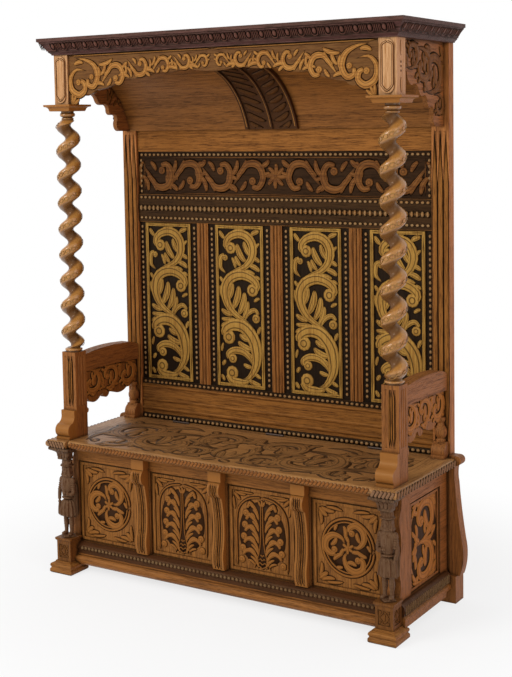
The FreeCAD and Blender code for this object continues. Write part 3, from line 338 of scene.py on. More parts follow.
class Pen:
    """Draws carved leaves in millimetres right and up of a point, turned, mirrored or at a scale."""

    def __init__(self, bm, height, at=(0, 0), hand=1, scale=1.0, turn=0.0, outline=0.0):
        self.bm = bm
        self.height = height
        self.at = Vector(at)
        self.hand = hand
        self.scale = scale
        self.turn = Matrix.Rotation(math.radians(turn), 2)
        self.outline = outline

    def moved(self, at, hand=1, scale=1.0, turn=0.0):
        """A pen for a smaller motif placed in this one's own drawing."""
        pen = Pen(self.bm, self.height, outline=self.outline)
        pen.at = self.place(at)
        pen.hand = self.hand * hand
        pen.scale = self.scale * scale
        pen.turn = self.turn @ Matrix.Rotation(math.radians(turn * self.hand), 2)
        return pen

    def place(self, point):
        return self.at + self.turn @ Vector((point[0] * self.hand, point[1])) * self.scale

    def stroke(self, line, half_width, shape, high, rings, crease=0.3):
        def path(t):
            return self.place(line(t)) * MM

        width = half_width * self.scale * MM
        if self.outline:
            ridge(self.bm, path, width + self.outline, 0.0007, shape, rings, 0.0, top=0.0)
        ridge(self.bm, path, width, self.height * high, shape, rings, crease)

    def band(self, points, half_width, shape=horn, high=1.0, rings=22):
        self.stroke(through(points), half_width, shape, high, rings)

    def leaf(self, x0, y0, x1, y1, bulge, half_width, high=0.85):
        self.stroke(bow((x0, y0), (x1, y1), bulge), half_width, pointed, high, 8)

    def leaves(self, *rows):
        for row in rows:
            self.leaf(*row)

    def corner_leaves(self, *rows):
        """Leaves for the upper right corner of a panel, and the same in its other corners."""
        for hand, up in CORNERS:
            for x0, y0, x1, y1, bulge, half_width in rows:
                self.leaf(hand * x0, up * y0, hand * x1, up * y1, bulge * hand * up, half_width)

    def bar(self, x0, y0, x1, y1, half_width, high=1.0, rings=6):
        self.stroke(bow((x0, y0), (x1, y1), 0.0), half_width, even, high, rings, 0.0)

    def head(self, x, y, radius, high=1.0, tall=1.0):
        middle = self.place((x, y)) * MM
        reach = radius * self.scale * MM
        boss(self.bm, middle, reach, reach * tall, self.height * high)

    def patch(self, x, y, half_wide, half_high, height=0.0008):
        """A flat dark ground that stands a hair above the face."""
        middle = self.place((x, y)) * MM
        boss(self.bm, middle, half_wide * MM, half_high * MM, height, 24, 5, top=0.0)

    def rail(self, points, half_width, high=0.6, rings=20):
        self.stroke(through(points), half_width, even, high, rings, 0.0)

    def ring(self, half_wide, half_high, half_width, high, sides, rings):
        turns = [math.tau * number / sides for number in range(sides + 1)]
        points = [(half_wide * math.cos(turn), half_high * math.sin(turn)) for turn in turns]
        self.rail(points, half_width, high, rings)

    def frame(self, left, low, right, high, half_width, proud=0.5):
        corners = ((left, low), (right, low), (right, high), (left, high))
        for a, b in zip(corners, corners[1:] + corners[:1]):
            self.bar(*a, *b, half_width, proud, 4)


def leaf_scroll(pen, fans=True):
    """A broad leaf that sweeps up and over and curls back to a button, 50 mm in radius."""
    pen.band(
        [(-66, -50), (-16, -56), (32, -40), (54, -4), (44, 34), (8, 50), (-28, 40), (-38, 12), (-26, -4)], 17
    )
    pen.head(-20, 2, 17)
    pen.leaf(28, -34, 10, 30, 0.32, 14)
    if fans:
        pen.leaves(
            (2, -46, 6, -6, 0.25, 8), (6, -52, 66, -26, 0.3, 10), (10, -54, 70, -50, 0.2, 9),
            (-36, -50, -68, -16, 0.3, 10), (-50, -46, -74, -44, 0.2, 8), (-58, -40, -60, 10, -0.25, 9),
        )
    pen.leaves(
        (-36, 34, -66, 52, 0.25, 9), (-12, 50, -46, 66, 0.2, 8),
        (38, 40, 64, 58, -0.2, 9), (54, 12, 74, 34, -0.2, 8),
    )


def wave_scroll(pen):
    """A leaf that rises from a root at the right, rolls over and curls in, with loose leaves above it."""
    pen.band([(66, -44), (40, -10), (6, 30), (-32, 28), (-48, -6), (-32, -36), (-6, -32)], 13)
    pen.head(-12, -18, 13)
    pen.leaves(
        (48, -4, 8, 48, 0.3, 10), (66, -6, 40, 48, 0.32, 9), (78, -24, 76, 34, 0.3, 8),
        (-40, 24, -70, 46, 0.25, 9), (-46, 2, -72, 10, 0.25, 7), (10, -14, 34, -46, -0.25, 8),
    )


def palmette(pen, ways, long, half_width):
    """A fan of leaves from one root."""
    for way in ways:
        x = math.sin(math.radians(way)) * long
        y = math.cos(math.radians(way)) * long
        pen.leaf(0, 0, x, y, 0.12 if way < 0 else -0.12, half_width)


def beads(count, step, half_wide, half_high, height):
    """A straight row of beads about its own middle, each a step from the last."""
    bead = carving()
    boss(bead, (0, 0), half_wide * MM, half_high * MM, height * MM, sides=8, rings=5)
    places = [Vector(step) * (number - (count - 1) / 2) * MM for number in range(count)]
    return fix(carving(), bead, *[Matrix.Translation((at.x, at.y, 0)) for at in places])


# Finishes


def node(tree, kind, **values):
    made = tree.nodes.new(kind)
    for name, value in values.items():
        if hasattr(made, name):
            setattr(made, name, value)
        else:
            made.inputs[name.replace("_", " ")].default_value = value
    return made


def fill(made, **values):
    """Sets a node's sockets, whose names have _ for each space."""
    for name, value in values.items():
        made.inputs[name.replace("_", " ")].default_value = value


def new_material(name):
    """A material, its node tree and its Principled shader."""
    material = bpy.data.materials.new(name)
    material.use_nodes = True
    return material, material.node_tree, material.node_tree.nodes["Principled BSDF"]


def plug(tree, sockets, values):
    """Links each socket to another node's, or sets it."""
    for socket, value in zip(sockets, values):
        if isinstance(value, bpy.types.NodeSocket):
            tree.links.new(value, socket)
        else:
            socket.default_value = value


def maths(tree, operation, *values, clamp=False):
    made = node(tree, "ShaderNodeMath", operation=operation, use_clamp=clamp)
    plug(tree, made.inputs, values)
    return made.outputs["Value"]


def vector_maths(tree, operation, *values):
    made = node(tree, "ShaderNodeVectorMath", operation=operation)
    plug(tree, made.inputs, values)
    return made.outputs["Value" if operation == "LENGTH" else "Vector"]


def ramp(tree, value, low, high, start=0.0, end=1.0, kind="SMOOTHSTEP"):
    """Carries a value that runs from low to high over to one from start to end."""
    made = node(tree, "ShaderNodeMapRange", interpolation_type=kind)
    fill(made, From_Min=low, From_Max=high, To_Min=start, To_Max=end)
    tree.links.new(value, made.inputs["Value"])
    return made.outputs["Result"]


def blend(tree, share, first, second, kind="MIX"):
    """A colour some way from the first to the second, or to the first times the second."""
    made = node(tree, "ShaderNodeMix", data_type="RGBA", blend_type=kind)
    plug(tree, (made.inputs["Factor"], made.inputs[6], made.inputs[7]), (share, first, second))
    return made.outputs[2]


def part(tree, vector, axis):
    """One axis of a vector."""
    split = node(tree, "ShaderNodeSeparateXYZ")
    tree.links.new(vector, split.inputs["Vector"])
    return split.outputs[axis]


def object_place(tree):
    return node(tree, "ShaderNodeTexCoord").outputs["Object"]


def normal_part(tree, axis):
    return part(tree, node(tree, "ShaderNodeNewGeometry").outputs["Normal"], axis)


def make_group(name, inputs, outputs):
    """A shader node group with named sockets, and its two end nodes."""
    tree = bpy.data.node_groups.new(name, "ShaderNodeTree")
    for socket, kind, default in inputs:
        made = tree.interface.new_socket(name=socket, in_out="INPUT", socket_type=kind)
        if default is not None:
            made.default_value = default
    for socket, kind in outputs:
        tree.interface.new_socket(name=socket, in_out="OUTPUT", socket_type=kind)
    return tree, tree.nodes.new("NodeGroupInput"), tree.nodes.new("NodeGroupOutput")


def use_group(tree, name, maker):
    """A node for a group that is built the first time that it is asked for."""
    made = node(tree, "ShaderNodeGroup")
    made.node_tree = bpy.data.node_groups.get(name) or maker(name)
    return made


def oak_grain_group(name):
    """Oak figure: long fibres, short dark pores and slow changes of tone."""
    tree, start, end = make_group(
        name,
        (("Vector", "NodeSocketVector", None),),
        (("Tone", "NodeSocketFloat"), ("Height", "NodeSocketFloat")),
    )
    noises = []
    settings = ((1.0, 7.0, 0.62, 0.9), (3.1, 3.0, 0.7, 0.2), (0.22, 2.0, 0.5, 0.0))
    for scale, detail, roughness, distortion in settings:
        noise = node(tree, "ShaderNodeTexNoise")
        fill(noise, Scale=scale, Detail=detail, Roughness=roughness, Distortion=distortion)
        tree.links.new(start.outputs["Vector"], noise.inputs["Vector"])
        noises.append(noise.outputs["Fac"])
    fibres, pores, slow = noises
    pits = ramp(tree, pores, 0.36, 0.50)
    tone = maths(tree, "MULTIPLY_ADD", ramp(tree, fibres, 0.34, 0.66), 0.75, slow)
    pitted = maths(tree, "MULTIPLY_ADD", pits, 0.7, -0.7)
    tree.links.new(maths(tree, "ADD", tone, pitted, clamp=True), end.inputs["Tone"])
    tree.links.new(pits, end.inputs["Height"])
    return tree


def grime_and_shade_group(name):
    """Grime and painted shade in the hollows, and rubbed high places, from how enclosed the surface is."""
    tree, start, end = make_group(
        name,
        (
            ("Colour", "NodeSocketColor", (0.3, 0.15, 0.05, 1.0)),
            ("Dirt", "NodeSocketColor", (0.02, 0.012, 0.01, 1.0)),
            ("Open", "NodeSocketFloat", 1.0),
            ("Depth", "NodeSocketFloat", 0.8),
        ),
        (("Colour", "NodeSocketColor"),),
    )
    # The more enclosed the surface, the more it goes towards the hollow colour: partly real grime, partly
    # painted shade.
    hollow = ramp(tree, start.outputs["Open"], 0.25, 0.85, 1.0, 0.0)
    strength = maths(tree, "MULTIPLY", hollow, start.outputs["Depth"], clamp=True)
    grimed_and_shaded = blend(tree, strength, start.outputs["Colour"], start.outputs["Dirt"])
    tree.links.new(grimed_and_shaded, end.inputs["Colour"])
    return tree


def vein_group(name):
    """Two cut lines that run along each leaf, part of the way in from its edges."""
    tree, start, end = make_group(name, (("Across", "NodeSocketFloat", 0.0),), (("Mask", "NodeSocketFloat"),))
    off = maths(tree, "ABSOLUTE", maths(tree, "SUBTRACT", start.outputs["Across"], 0.42))
    tree.links.new(ramp(tree, off, 0.04, 0.13, 1.0, 0.0), end.inputs["Mask"])
    return tree


def rgba(values, share=1.0):
    return (values[0] * share, values[1] * share, values[2] * share, 1.0)


def carve_colour(tree, coloured, low, high, ground, vein):
    """Darkens carved work along its cut lines, and between two heights above its ground."""
    if vein:
        across = node(tree, "ShaderNodeAttribute", attribute_name="across")
        lines = use_group(tree, "Leaf veins", vein_group)
        tree.links.new(across.outputs["Fac"], lines.inputs["Across"])
        coloured = blend(tree, maths(tree, "MULTIPLY", lines.outputs["Mask"], vein), coloured, rgba(ground))
    height = node(tree, "ShaderNodeAttribute", attribute_name="rise")
    return blend(tree, ramp(tree, height.outputs["Fac"], low, high), rgba(ground), coloured)


def shade_zone(tree, coloured, axis, low, high, shade):
    """Darkens or lightens the part between two heights, or two distances, but not behind."""
    along = part(tree, object_place(tree), axis)
    inside = maths(tree, "COMPARE", along, (low + high) / 2, (high - low) / 2)
    in_front = maths(tree, "LESS_THAN", normal_part(tree, "Y"), 0.9)
    return blend(tree, maths(tree, "MULTIPLY", inside, in_front), coloured, rgba(shade), "MULTIPLY")


def shade_sides(tree, coloured):
    """Painted shade: faces that point sideways are tinted redder and a little darker than the front."""
    sideways = ramp(tree, maths(tree, "ABSOLUTE", normal_part(tree, "X")), 0.6, 0.95)
    return blend(tree, sideways, coloured, (1.0, 0.84, 0.76, 1.0), "MULTIPLY")


GRAIN_SCALE = {"X": (8.0, 190.0, 190.0), "Y": (190.0, 8.0, 190.0), "Z": (190.0, 190.0, 8.0)}
SPECULAR_TINT = (1.0, 0.72, 0.42, 1.0)


def oak(
    name, light, dark, along="X", grime_and_shade_colour=None, depth=0.85, gloss=0.5, wax=0.0, reach=0.02,
    carved=None, vein=0.0, zones=(),
):
    """Waxed oak whose grain runs along one axis. Carved work also darkens towards its ground."""
    known = bpy.data.materials.get(name)
    if known:
        return known
    material, tree, surface = new_material(name)
    link = tree.links.new
    stretch = node(tree, "ShaderNodeMapping")
    fill(stretch, Scale=GRAIN_SCALE[along])
    link(object_place(tree), stretch.inputs["Vector"])
    grain = use_group(tree, "Oak grain", oak_grain_group)
    link(stretch.outputs["Vector"], grain.inputs["Vector"])
    coloured = blend(tree, grain.outputs["Tone"], rgba(dark), rgba(light))
    if carved:
        coloured = carve_colour(tree, coloured, *carved, vein)
    for zone in zones:
        coloured = shade_zone(tree, coloured, *zone)
    # Ambient occlusion finds the hollows, which get grime and painted shade.
    open_sky = node(tree, "ShaderNodeAmbientOcclusion", samples=8)
    fill(open_sky, Distance=reach)
    grime_and_shade = use_group(tree, "Grime and shade", grime_and_shade_group)
    fill(grime_and_shade, Dirt=rgba(grime_and_shade_colour or bpy.context.scene.settle_colours.ground), Depth=depth)
    # Painted shade on the sideways faces, then grime and painted shade in the hollows.
    link(shade_sides(tree, coloured), grime_and_shade.inputs["Colour"])
    link(open_sky.outputs["AO"], grime_and_shade.inputs["Open"])
    link(grime_and_shade.outputs["Colour"], surface.inputs["Base Color"])
    rough = ramp(tree, grain.outputs["Tone"], 0.0, 1.0, gloss + 0.14, gloss - 0.04, "LINEAR")
    link(rough, surface.inputs["Roughness"])
    shine = 0.12 if carved or zones else 0.22
    fill(surface, Specular_IOR_Level=shine, Specular_Tint=SPECULAR_TINT, Coat_Weight=wax, Coat_Roughness=0.16)
    bump = node(tree, "ShaderNodeBump", Strength=0.35, Distance=0.0006)
    link(grain.outputs["Height"], bump.inputs["Height"])
    link(bump.outputs["Normal"], surface.inputs["Normal"])
    return material


def shade_column(material, dark):
    """Painted shade near a twist column's axis, where its necks are, and on its undersides, with a duller
    coat in the necks.
    """
    tree = material.node_tree
    surface = tree.nodes["Principled BSDF"]
    coloured = surface.inputs["Base Color"].links[0].from_socket
    axis = (-COLUMN_X * MM, (COLUMN_AHEAD - REAR) * -MM, 0)
    mirrored = vector_maths(tree, "ABSOLUTE", object_place(tree))
    flat = vector_maths(tree, "MULTIPLY_ADD", mirrored, (1, 1, 0), axis)
    # Painted shade: darker towards the axis in the necks, and on faces that point downwards.
    near = ramp(tree, vector_maths(tree, "LENGTH", flat), 0.016, 0.030, 1.0, 0.0)
    under = ramp(tree, normal_part(tree, "Z"), -0.75, -0.05, 0.75, 0.0)
    coloured = blend(tree, under, blend(tree, near, coloured, rgba(dark)), rgba(dark))
    tree.links.new(coloured, surface.inputs["Base Color"])
    tree.links.new(maths(tree, "MULTIPLY_ADD", near, -0.7, 0.8), surface.inputs["Coat Weight"])


def finish(kind):
    """The finish of a kind of carving."""
    c = bpy.context.scene.settle_colours
    short = {"reach": 0.01}
    side_light = rgba(c.honey, 1.4)
    hood_light = rgba(c.honey, 0.68)
    plinth_light = rgba(c.frame_light, 0.55)
    rib_light = rgba(c.red_light, 0.42)
    brown = c.brown_ground
    kinds = {
        "gold": ("Gold carving", c.gold, c.gold_dark, "Z", 0.7, (0.15, 0.5, c.ground), 0.75, {}),
        "red": ("Frieze carving", c.russet, c.red_dark, "X", 0.8, (0.15, 0.6, c.ground), 0.6, {}),
        "pearl": ("Pearls", c.pearl, c.honey, "X", 0.8, (0.3, 0.85, c.ground), 0.0, short),
        "box": ("Box carving", c.honey, c.frame_light, "Z", 0.8, (0.1, 0.5, brown), 0.5, {}),
        "side": ("Side carving", side_light, c.frame_light, "Z", 0.7, (0.1, 0.5, brown), 0.5, {}),
        "side hood": ("Side hood carving", hood_light, c.red_dark, "Z", 0.8, (0.1, 0.5, brown), 0.5, {}),
        "seat": (
            "Seat carving", c.seat_light, c.seat_dark, "X", 0.3, (0.25, 0.85, c.seat_ground), 0.8,
            {"gloss": 0.46},
        ),
        "edge": ("Edge reeds", rgba(c.figure, 1.9), c.figure, "X", 0.9, (0.1, 0.7, c.ground), 0.0, short),
        "lid edge": ("Lid edge", c.red_light, c.red_dark, "X", 0.6, (0.0, 0.9, c.frame_dark), 0.0, short),
        "pedestal": (
            "Pedestal carving", plinth_light, c.frame_dark, "Z", 0.8, (0.0, 0.5, c.ground), 0.0, short,
        ),
        "valance": (
            "Valance carving", c.honey_light, c.frame_light, "X", 0.7, (0.05, 0.35, brown), 0.7, {},
        ),
        "pale": ("Block carving", c.tan, c.honey, "Z", 0.6, (0.1, 0.7, c.frame_dark), 0.0, {}),
        "rib": ("Rib carving", rib_light, c.frame_dark, "Y", 0.8, (0.1, 0.9, c.ground), 0.4, {}),
        "rib edge": ("Rib edge", c.honey_light, c.frame_light, "Y", 0.5, (0.0, 0.4, c.frame_dark), 0.0, {}),
        "egg": ("Cornice carving", c.egg, c.cornice, "X", 0.9, (0.2, 0.95, c.ground), 0.0, {"reach": 0.012}),
        "rope": (
            "Column carving", c.gold, c.honey, "Z", 0.5, (0.1, 0.7, c.frame_dark), 0.0,
            {"gloss": 0.3, "wax": 0.4},
        ),
        "reed": (
            "Console reeds", c.honey, c.frame_dark, "Z", 0.9, (0.1, 0.6, c.ground), 0.0, {"reach": 0.008},
        ),
        "bead": ("Bead carving", c.bead, c.frame_dark, "X", 0.8, (0.05, 0.5, c.ground), 0.0, short),
    }
    name, light, dark, along, depth, carved, vein, more = kinds[kind]
    return oak(name, light, dark, along, depth=depth, carved=carved, vein=vein, **more)


def iron(name):
    """Blackened iron, a little rusty in the grain."""
    material, tree, surface = new_material(name)
    speckle = node(tree, "ShaderNodeTexNoise", Scale=380.0, Detail=5.0, Roughness=0.6)
    tree.links.new(object_place(tree), speckle.inputs["Vector"])
    rusty = blend(tree, speckle.outputs["Fac"], (0.035, 0.03, 0.028, 1), (0.11, 0.07, 0.05, 1))
    tree.links.new(rusty, surface.inputs["Base Color"])
    fill(surface, Metallic=0.8, Roughness=0.5)
    return material


def dress(finish, *names):
    """Gives CAD nodes a finish."""
    for name in names:
        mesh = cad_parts[name].data
        mesh.materials.clear()
        mesh.materials.append(finish)


class SETTLE_OT_woodwork(bpy.types.Operator):
    """Finish the frame, rails, posts, boards and hinges"""

    bl_idname = "settle.woodwork"
    bl_label = "Woodwork"

    def execute(self, context):
        c = context.scene.settle_colours
        panels = " ".join(f"back_panel_{name}" for name in PANEL_NAMES)
        box_panels = panels.replace("back", "box")
        honey = {"depth": 0.7, "gloss": 0.36}
        worn = {"gloss": 0.42, "wax": 0.1}
        waxed = {"depth": 0.9, "gloss": 0.3, "wax": 0.8, "reach": 0.03, "grime_and_shade_colour": c.frame_dark}
        rails = (
            ("Z", 1.297, 1.404, (0.16, 0.18, 0.3)), ("Z", 0.646, 0.668, (0.08, 0.1, 0.2)),
            ("Z", 0.505, 0.5285, (0.08, 0.1, 0.2)), ("Z", 1.574, 1.656, (1.15, 1.12, 1.12)),
        )
        grounds = (("Y", 0.2340, 0.2600, (0.04, 0.05, 0.14)), ("Y", 0.2200, 0.2340, (1.48, 2.05, 2.05)))
        frieze = (("Y", 0.2, 0.26, (0.1, 0.1, 0.16)),)
        for name, light, dark, along, more, nodes in (
            ("Frame oak along", c.frame_light, c.frame_dark, "X", {},
             "box_front_rails plinth_mouldings canopy_board box_back_board box_bottom_board lid_battens"),
            ("Frame oak along", c.frame_light, c.frame_dark, "X", {}, "lid_bed_mould"),
            ("Frame oak upright", c.frame_light, c.frame_dark, "Z", {}, "box_muntins back_muntins"),
            ("Side oak along", c.red_light, c.red_dark, "Y", {},
             "box_side_frames side_valances arm_left arm_right"),
            ("Side oak upright", c.red_light, c.red_dark, "Z", {},
             "box_corner_stiles rear_feet rear_brackets rear_scrolls front_post_left front_post_right"),
            ("Honey oak upright", c.honey, c.frame_light, "Z", honey, "post_scrolls seat_consoles"),
            ("Honey oak along", c.honey, c.frame_light, "X", honey, "cap_plates"),
            ("Dark oak along", c.cornice, c.ground, "X", {}, "cornice"),
            ("Cove oak", c.frame_light, c.frame_dark, "X", {"depth": 0.6, "gloss": 0.4}, "cove_board"),
            ("Seat oak", c.seat_light, c.seat_dark, "X", worn, "seat_lid seat_rear_strip"),
            ("Seat end oak", c.seat_light, c.seat_dark, "Y", worn, "seat_end_left seat_end_right"),
            ("Back rail oak", c.honey, c.frame_dark, "X", {"depth": 0.7, "zones": rails}, "back_rails"),
            ("Post oak", rgba(c.red_light, 1.55), rgba(c.red_dark, 1.5), "Z", {},
             "rear_post_left rear_post_right"),
            ("Pale block oak", c.tan, c.honey, "Z", {"depth": 0.6, "gloss": 0.36}, "upper_blocks"),
            ("Column oak", c.honey_light, c.honey, "Z", waxed, "column_left column_right"),
            ("Foot oak", c.honey, c.frame_dark, "X", {"depth": 0.7}, "front_feet"),
            ("Rib oak", c.frame_dark, c.brown_ground, "Y", {}, "cove_rib"),
            ("Base moulding oak", c.frame_dark, c.brown_ground, "X", {}, "base_mouldings"),
            ("Figure oak", c.figure, c.ground, "Z", {}, "figure_left figure_right figure_capitals"),
            ("Pedestal oak", rgba(c.frame_light, 0.6), c.frame_dark, "Z", {}, "pedestals"),
            ("Valance board", rgba(c.honey, 0.5), c.frame_dark, "X", {"depth": 0.9}, "front_valance"),
            ("Back panel oak", c.honey, c.frame_dark, "Z", {"depth": 0.6, "zones": grounds}, panels),
            ("Frieze oak", c.frame_light, c.frame_dark, "X", {"zones": frieze}, "frieze_panel"),
            ("Box panel oak", c.honey, c.frame_dark, "Z", {}, box_panels),
            ("Side panel oak", c.frame_light, c.red_dark, "Z", {},
             "side_panel_left side_panel_right arm_aprons"),
        ):
            dress(oak(name, light, dark, along, **more), *nodes.split())
        # Paints shade into the columns' necks and undersides.
        shade_column(bpy.data.materials["Column oak"], c.rope_shade)
        hinges = ("frame_leaves", "lid_leaves", "pins", "frame_screws", "lid_screws")
        dress(iron("Hinge iron"), *[f"hinge_{name}" for name in hinges])
        return {"FINISHED"}


# Carving of the back


def panel_scrolls(pen):
    """Three great leaves, one above another, each wound the other way from the last."""
    pen.band(
        [(-66, 424), (-26, 446), (20, 462), (52, 494), (60, 536),
         (42, 574), (2, 590), (-42, 578), (-62, 550), (-50, 530)], 22
    )
    pen.head(-40, 534, 25)
    pen.band(
        [(70, 228), (22, 254), (-32, 286), (-62, 328), (-68, 378),
         (-44, 418), (4, 434), (50, 422), (76, 396), (66, 372)], 25
    )
    pen.head(56, 376, 27)
    pen.band(
        [(-30, 20), (30, 34), (66, 84), (70, 140), (54, 192),
         (14, 232), (-34, 238), (-70, 218), (-70, 192)], 31
    )
    pen.head(-54, 190, 30)
    pen.band([(60, 70), (44, 108), (12, 136), (-30, 140), (-58, 124), (-52, 106)], 17)
    pen.head(-38, 108, 20)
    pen.band([(44, 30), (6, 16), (-40, 20), (-66, 46)], 20)
    pen.head(-42, 52, 29)
    pen.band([(14, 248), (36, 286), (64, 300), (84, 282)], 11)
    pen.head(70, 268, 19)
    pen.band([(-60, 432), (-88, 460), (-86, 496), (-68, 508)], 12)
    pen.head(-66, 496, 13)
    pen.leaves(
        (32, 480, -12, 556, 0.25, 15), (8, 464, -20, 508, 0.2, 11), (50, 504, 20, 566, 0.2, 12),
        (-20, 454, -38, 500, -0.2, 9), (-40, 296, -8, 396, -0.22, 17), (-14, 276, 18, 372, -0.22, 16),
        (6, 262, 34, 338, -0.2, 12), (-56, 330, -34, 404, -0.15, 12), (-32, 276, -90, 300, 0.2, 12),
        (-20, 262, -92, 262, 0.15, 11), (38, 470, 92, 446, 0.2, 12), (56, 500, 92, 482, 0.15, 10),
        (16, 450, 70, 436, 0.1, 8), (62, 524, 92, 556, 0.15, 8), (52, 80, 8, 92, 0.2, 10),
        (58, 150, -16, 180, 0.28, 15), (46, 184, -8, 208, 0.25, 12), (62, 116, 2, 160, 0.25, 13),
        (30, 34, 92, 14, -0.2, 12), (56, 60, 92, 40, -0.1, 9), (-74, 18, -92, 44, 0.1, 9),
        (-86, 76, -70, 100, 0.1, 9), (-64, 568, -92, 602, 0.15, 10), (50, 584, 92, 602, 0.15, 11),
        (-90, 226, -64, 244, 0.1, 9), (76, 206, 92, 240, 0.1, 9), (64, 430, 92, 416, 0.1, 8),
        (-80, 336, -92, 392, 0.1, 7), (-30, 602, 28, 606, 0.05, 5), (-88, 130, -80, 168, 0.1, 7),
        (60, 330, 90, 346, 0.2, 8), (-74, 400, -92, 424, 0.1, 8),
    )


def panel_middles(pitch):
    return zip(PANEL_NAMES, (-1.5 * pitch, -0.5 * pitch, 0.5 * pitch, 1.5 * pitch))


class SETTLE_OT_back_panels(bpy.types.Operator):
    """Carve the four tall panels of the back"""

    bl_idname = "settle.back_panels"
    bl_label = "Back panels"

    def execute(self, context):
        drawn = carving()
        panel_scrolls(Pen(drawn, context.scene.settle_carving.panel_relief, at=(0, 671)))
        border = carving()
        Pen(border, 0.0025).frame(-102, 676, 102, 1287, 4.6)
        for name, x in panel_middles(PANEL_PITCH):
            work = carving()
            stamp(work, drawn, set_on(x, SLAB_AHEAD, 0, FRONT))
            stamp(work, border, set_on(x, BORDER_AHEAD, 0, FRONT))
            keep(f"back_carving_{name}", work, finish("gold"))
        drawn.free()
        border.free()
        return {"FINISHED"}


class SETTLE_OT_frieze(bpy.types.Operator):
    """Carve the long panel at the top of the back"""

    bl_idname = "settle.frieze"
    bl_label = "Frieze"

    def execute(self, context):
        half = carving()
        pen = Pen(half, context.scene.settle_carving.frieze_relief, outline=0.002)
        for x, flip in ((118, 1), (262, -1), (404, 1), (538, -1)):
            wave_scroll(pen.moved((x, 4 * flip), flip, 1.3, 0 if flip > 0 else 180))
            pen.leaf(x + 70, -58 * flip, x + 96, 8 * flip, -0.25 * flip, 10)
        middle = carving()
        pen = Pen(middle, 0.006)
        palmette(pen, range(0, 360, 45), 50, 10)
        pen.head(0, 0, 13)
        Pen(middle, 0.003).frame(-606, -70, 606, 70, 2.0, 1.0)
        work = carving()
        fix(work, half, *[set_on(0, SLAB_AHEAD, FRIEZE_MIDDLE, FRONT, hand) for hand in HANDS])
        fix(work, middle, set_on(0, SLAB_AHEAD, FRIEZE_MIDDLE, FRONT))
        keep("frieze_carving", work, finish("red"))
        return {"FINISHED"}


class SETTLE_OT_pearls(bpy.types.Operator):
    """String the pearls and ovals round the back's panels and above the seat"""

    bl_idname = "settle.pearls"
    bl_label = "Pearls"

    def execute(self, context):
        sizes = context.scene.settle_carving
        pitch = sizes.pearl_pitch / MM
        count = int(1268 / pitch)
        level = (pitch, 0)
        upright = (0, pitch)
        rows = ((1561, SLAB_AHEAD), (1393, RAIL_AHEAD), (1313, RAIL_AHEAD), (656, RAIL_AHEAD))
        work = carving()
        fix(work, beads(count, level, 8.2, 6.6, 6), *[set_on(0, ahead, z, FRONT) for z, ahead in rows])
        edges = [x + side for _, x in panel_middles(PANEL_PITCH) for side in (-125, 125)]
        column = beads(int(626 / pitch), upright, 6.6, 8.2, 6)
        fix(work, column, *[set_on(x, SLAB_AHEAD, 981.5, FRONT) for x in edges])
        column = beads(7, upright, 6.2, 8, 6)
        fix(work, column, *[set_on(x, SLAB_AHEAD, 1478, FRONT) for x in (-622, 622)])
        for number, *size in ((count, 7.6, 13, 11), (count - 1, 1.8, 8, 5)):
            fix(work, beads(number, level, *size), set_on(0, RAIL_AHEAD, 1352, FRONT))
        keep("back_pearls", work, finish("pearl"), replaced=("back_mouldings",))
        pitch = sizes.seat_pearl_pitch / MM
        row = beads(int(1264 / pitch), (pitch, 0), 8.8, 8.0, 8)
        seat = fix(carving(), row, set_on(0, 34, 517.5, FRONT))
        keep("seat_pearls", seat, finish("pearl"))
        return {"FINISHED"}


# Carving of the box


def roundel(pen):
    """Three leaves wound round a rosette inside two rings, with a sprig in each corner."""
    pen.patch(0, 0, 86, 86)
    for radius, half_width in ((97, 4.5), (86, 3.0)):
        pen.ring(radius, radius, half_width, 0.8, 24, 48)
    for turn in (20, 140, 260):
        part = pen.moved((0, 0), turn=turn)
        part.band([(6, 8), (36, -8), (66, 8), (74, 40), (56, 64), (30, 62), (22, 46)], 15)
        part.head(31, 43, 13)
        part.leaves(
            (54, 2, 52, 44, 0.3, 9), (70, -6, 78, -34, 0.2, 7),
            (26, -12, 62, -46, -0.25, 9), (12, 14, 8, 44, 0.2, 8),
        )
    palmette(pen, (-120, -60, 0, 60, 120, 180), 24, 6)
    pen.head(0, 0, 7)
    pen.corner_leaves(
        (110, 126, 74, 96, 0.15, 10), (104, 128, 46, 116, 0.2, 8),
        (111, 116, 102, 62, -0.2, 8), (86, 128, 16, 120, -0.1, 6),
    )


def tree(pen):
    """A stem with drooping leaves and berries below an arch."""
    pen.patch(0, -12, 100, 124)
    for hand in HANDS:
        stem = ((34, -134), (12, -70), (5, -10), (4, 50), (3, 104))
        pen.rail([(hand * x, y) for x, y in stem], 2.4, 0.8)
        for number in range(5):
            y = -98 + number * 42
            lean = 1 - number * 0.06
            start = 20 if number == 0 else 9
            curl = ((start, -30), (22, 4), (46, 26), (68 * lean, 22), (80 * lean, 6))
            pen.band([(hand * across, y + up) for across, up in curl], 9, horn, 1.0, 14)
            pen.head(hand * 84 * lean, y - 10, 14)
            pen.leaf(hand * 13, y - 32, hand * 52 * lean, y + 8, 0.28 * hand, 6.5)
            pen.leaf(hand * 26, y - 26, hand * 62 * lean, y - 8, 0.3 * hand, 5)
        arch = ((102, -136), (104, -40), (103, 40), (88, 84), (52, 112), (0, 122))
        pen.rail([(hand * x, y) for x, y in arch], 3.2, 0.8, 26)
        for x0, y0, x1, y1, bulge, half_width in (
            (112, 134, 60, 124, 0.15, 6), (114, 130, 84, 102, 0.1, 7),
            (115, 118, 108, 66, 0.1, 6), (100, 134, 30, 132, 0.05, 4),
        ):
            pen.leaf(hand * x0, y0, hand * x1, y1, bulge * hand, half_width)
    for number in range(4):
        reach = 24 - number * 5
        y = -128 + number * 14
        wave = [(-reach, y), (-reach * 0.5, y + 5), (0, y - 1), (reach * 0.5, y + 5), (reach, y)]
        pen.rail(wave, 2.2, 0.7, 12)
    palmette(pen.moved((0, 88)), (-30, 0, 30), 26, 5)


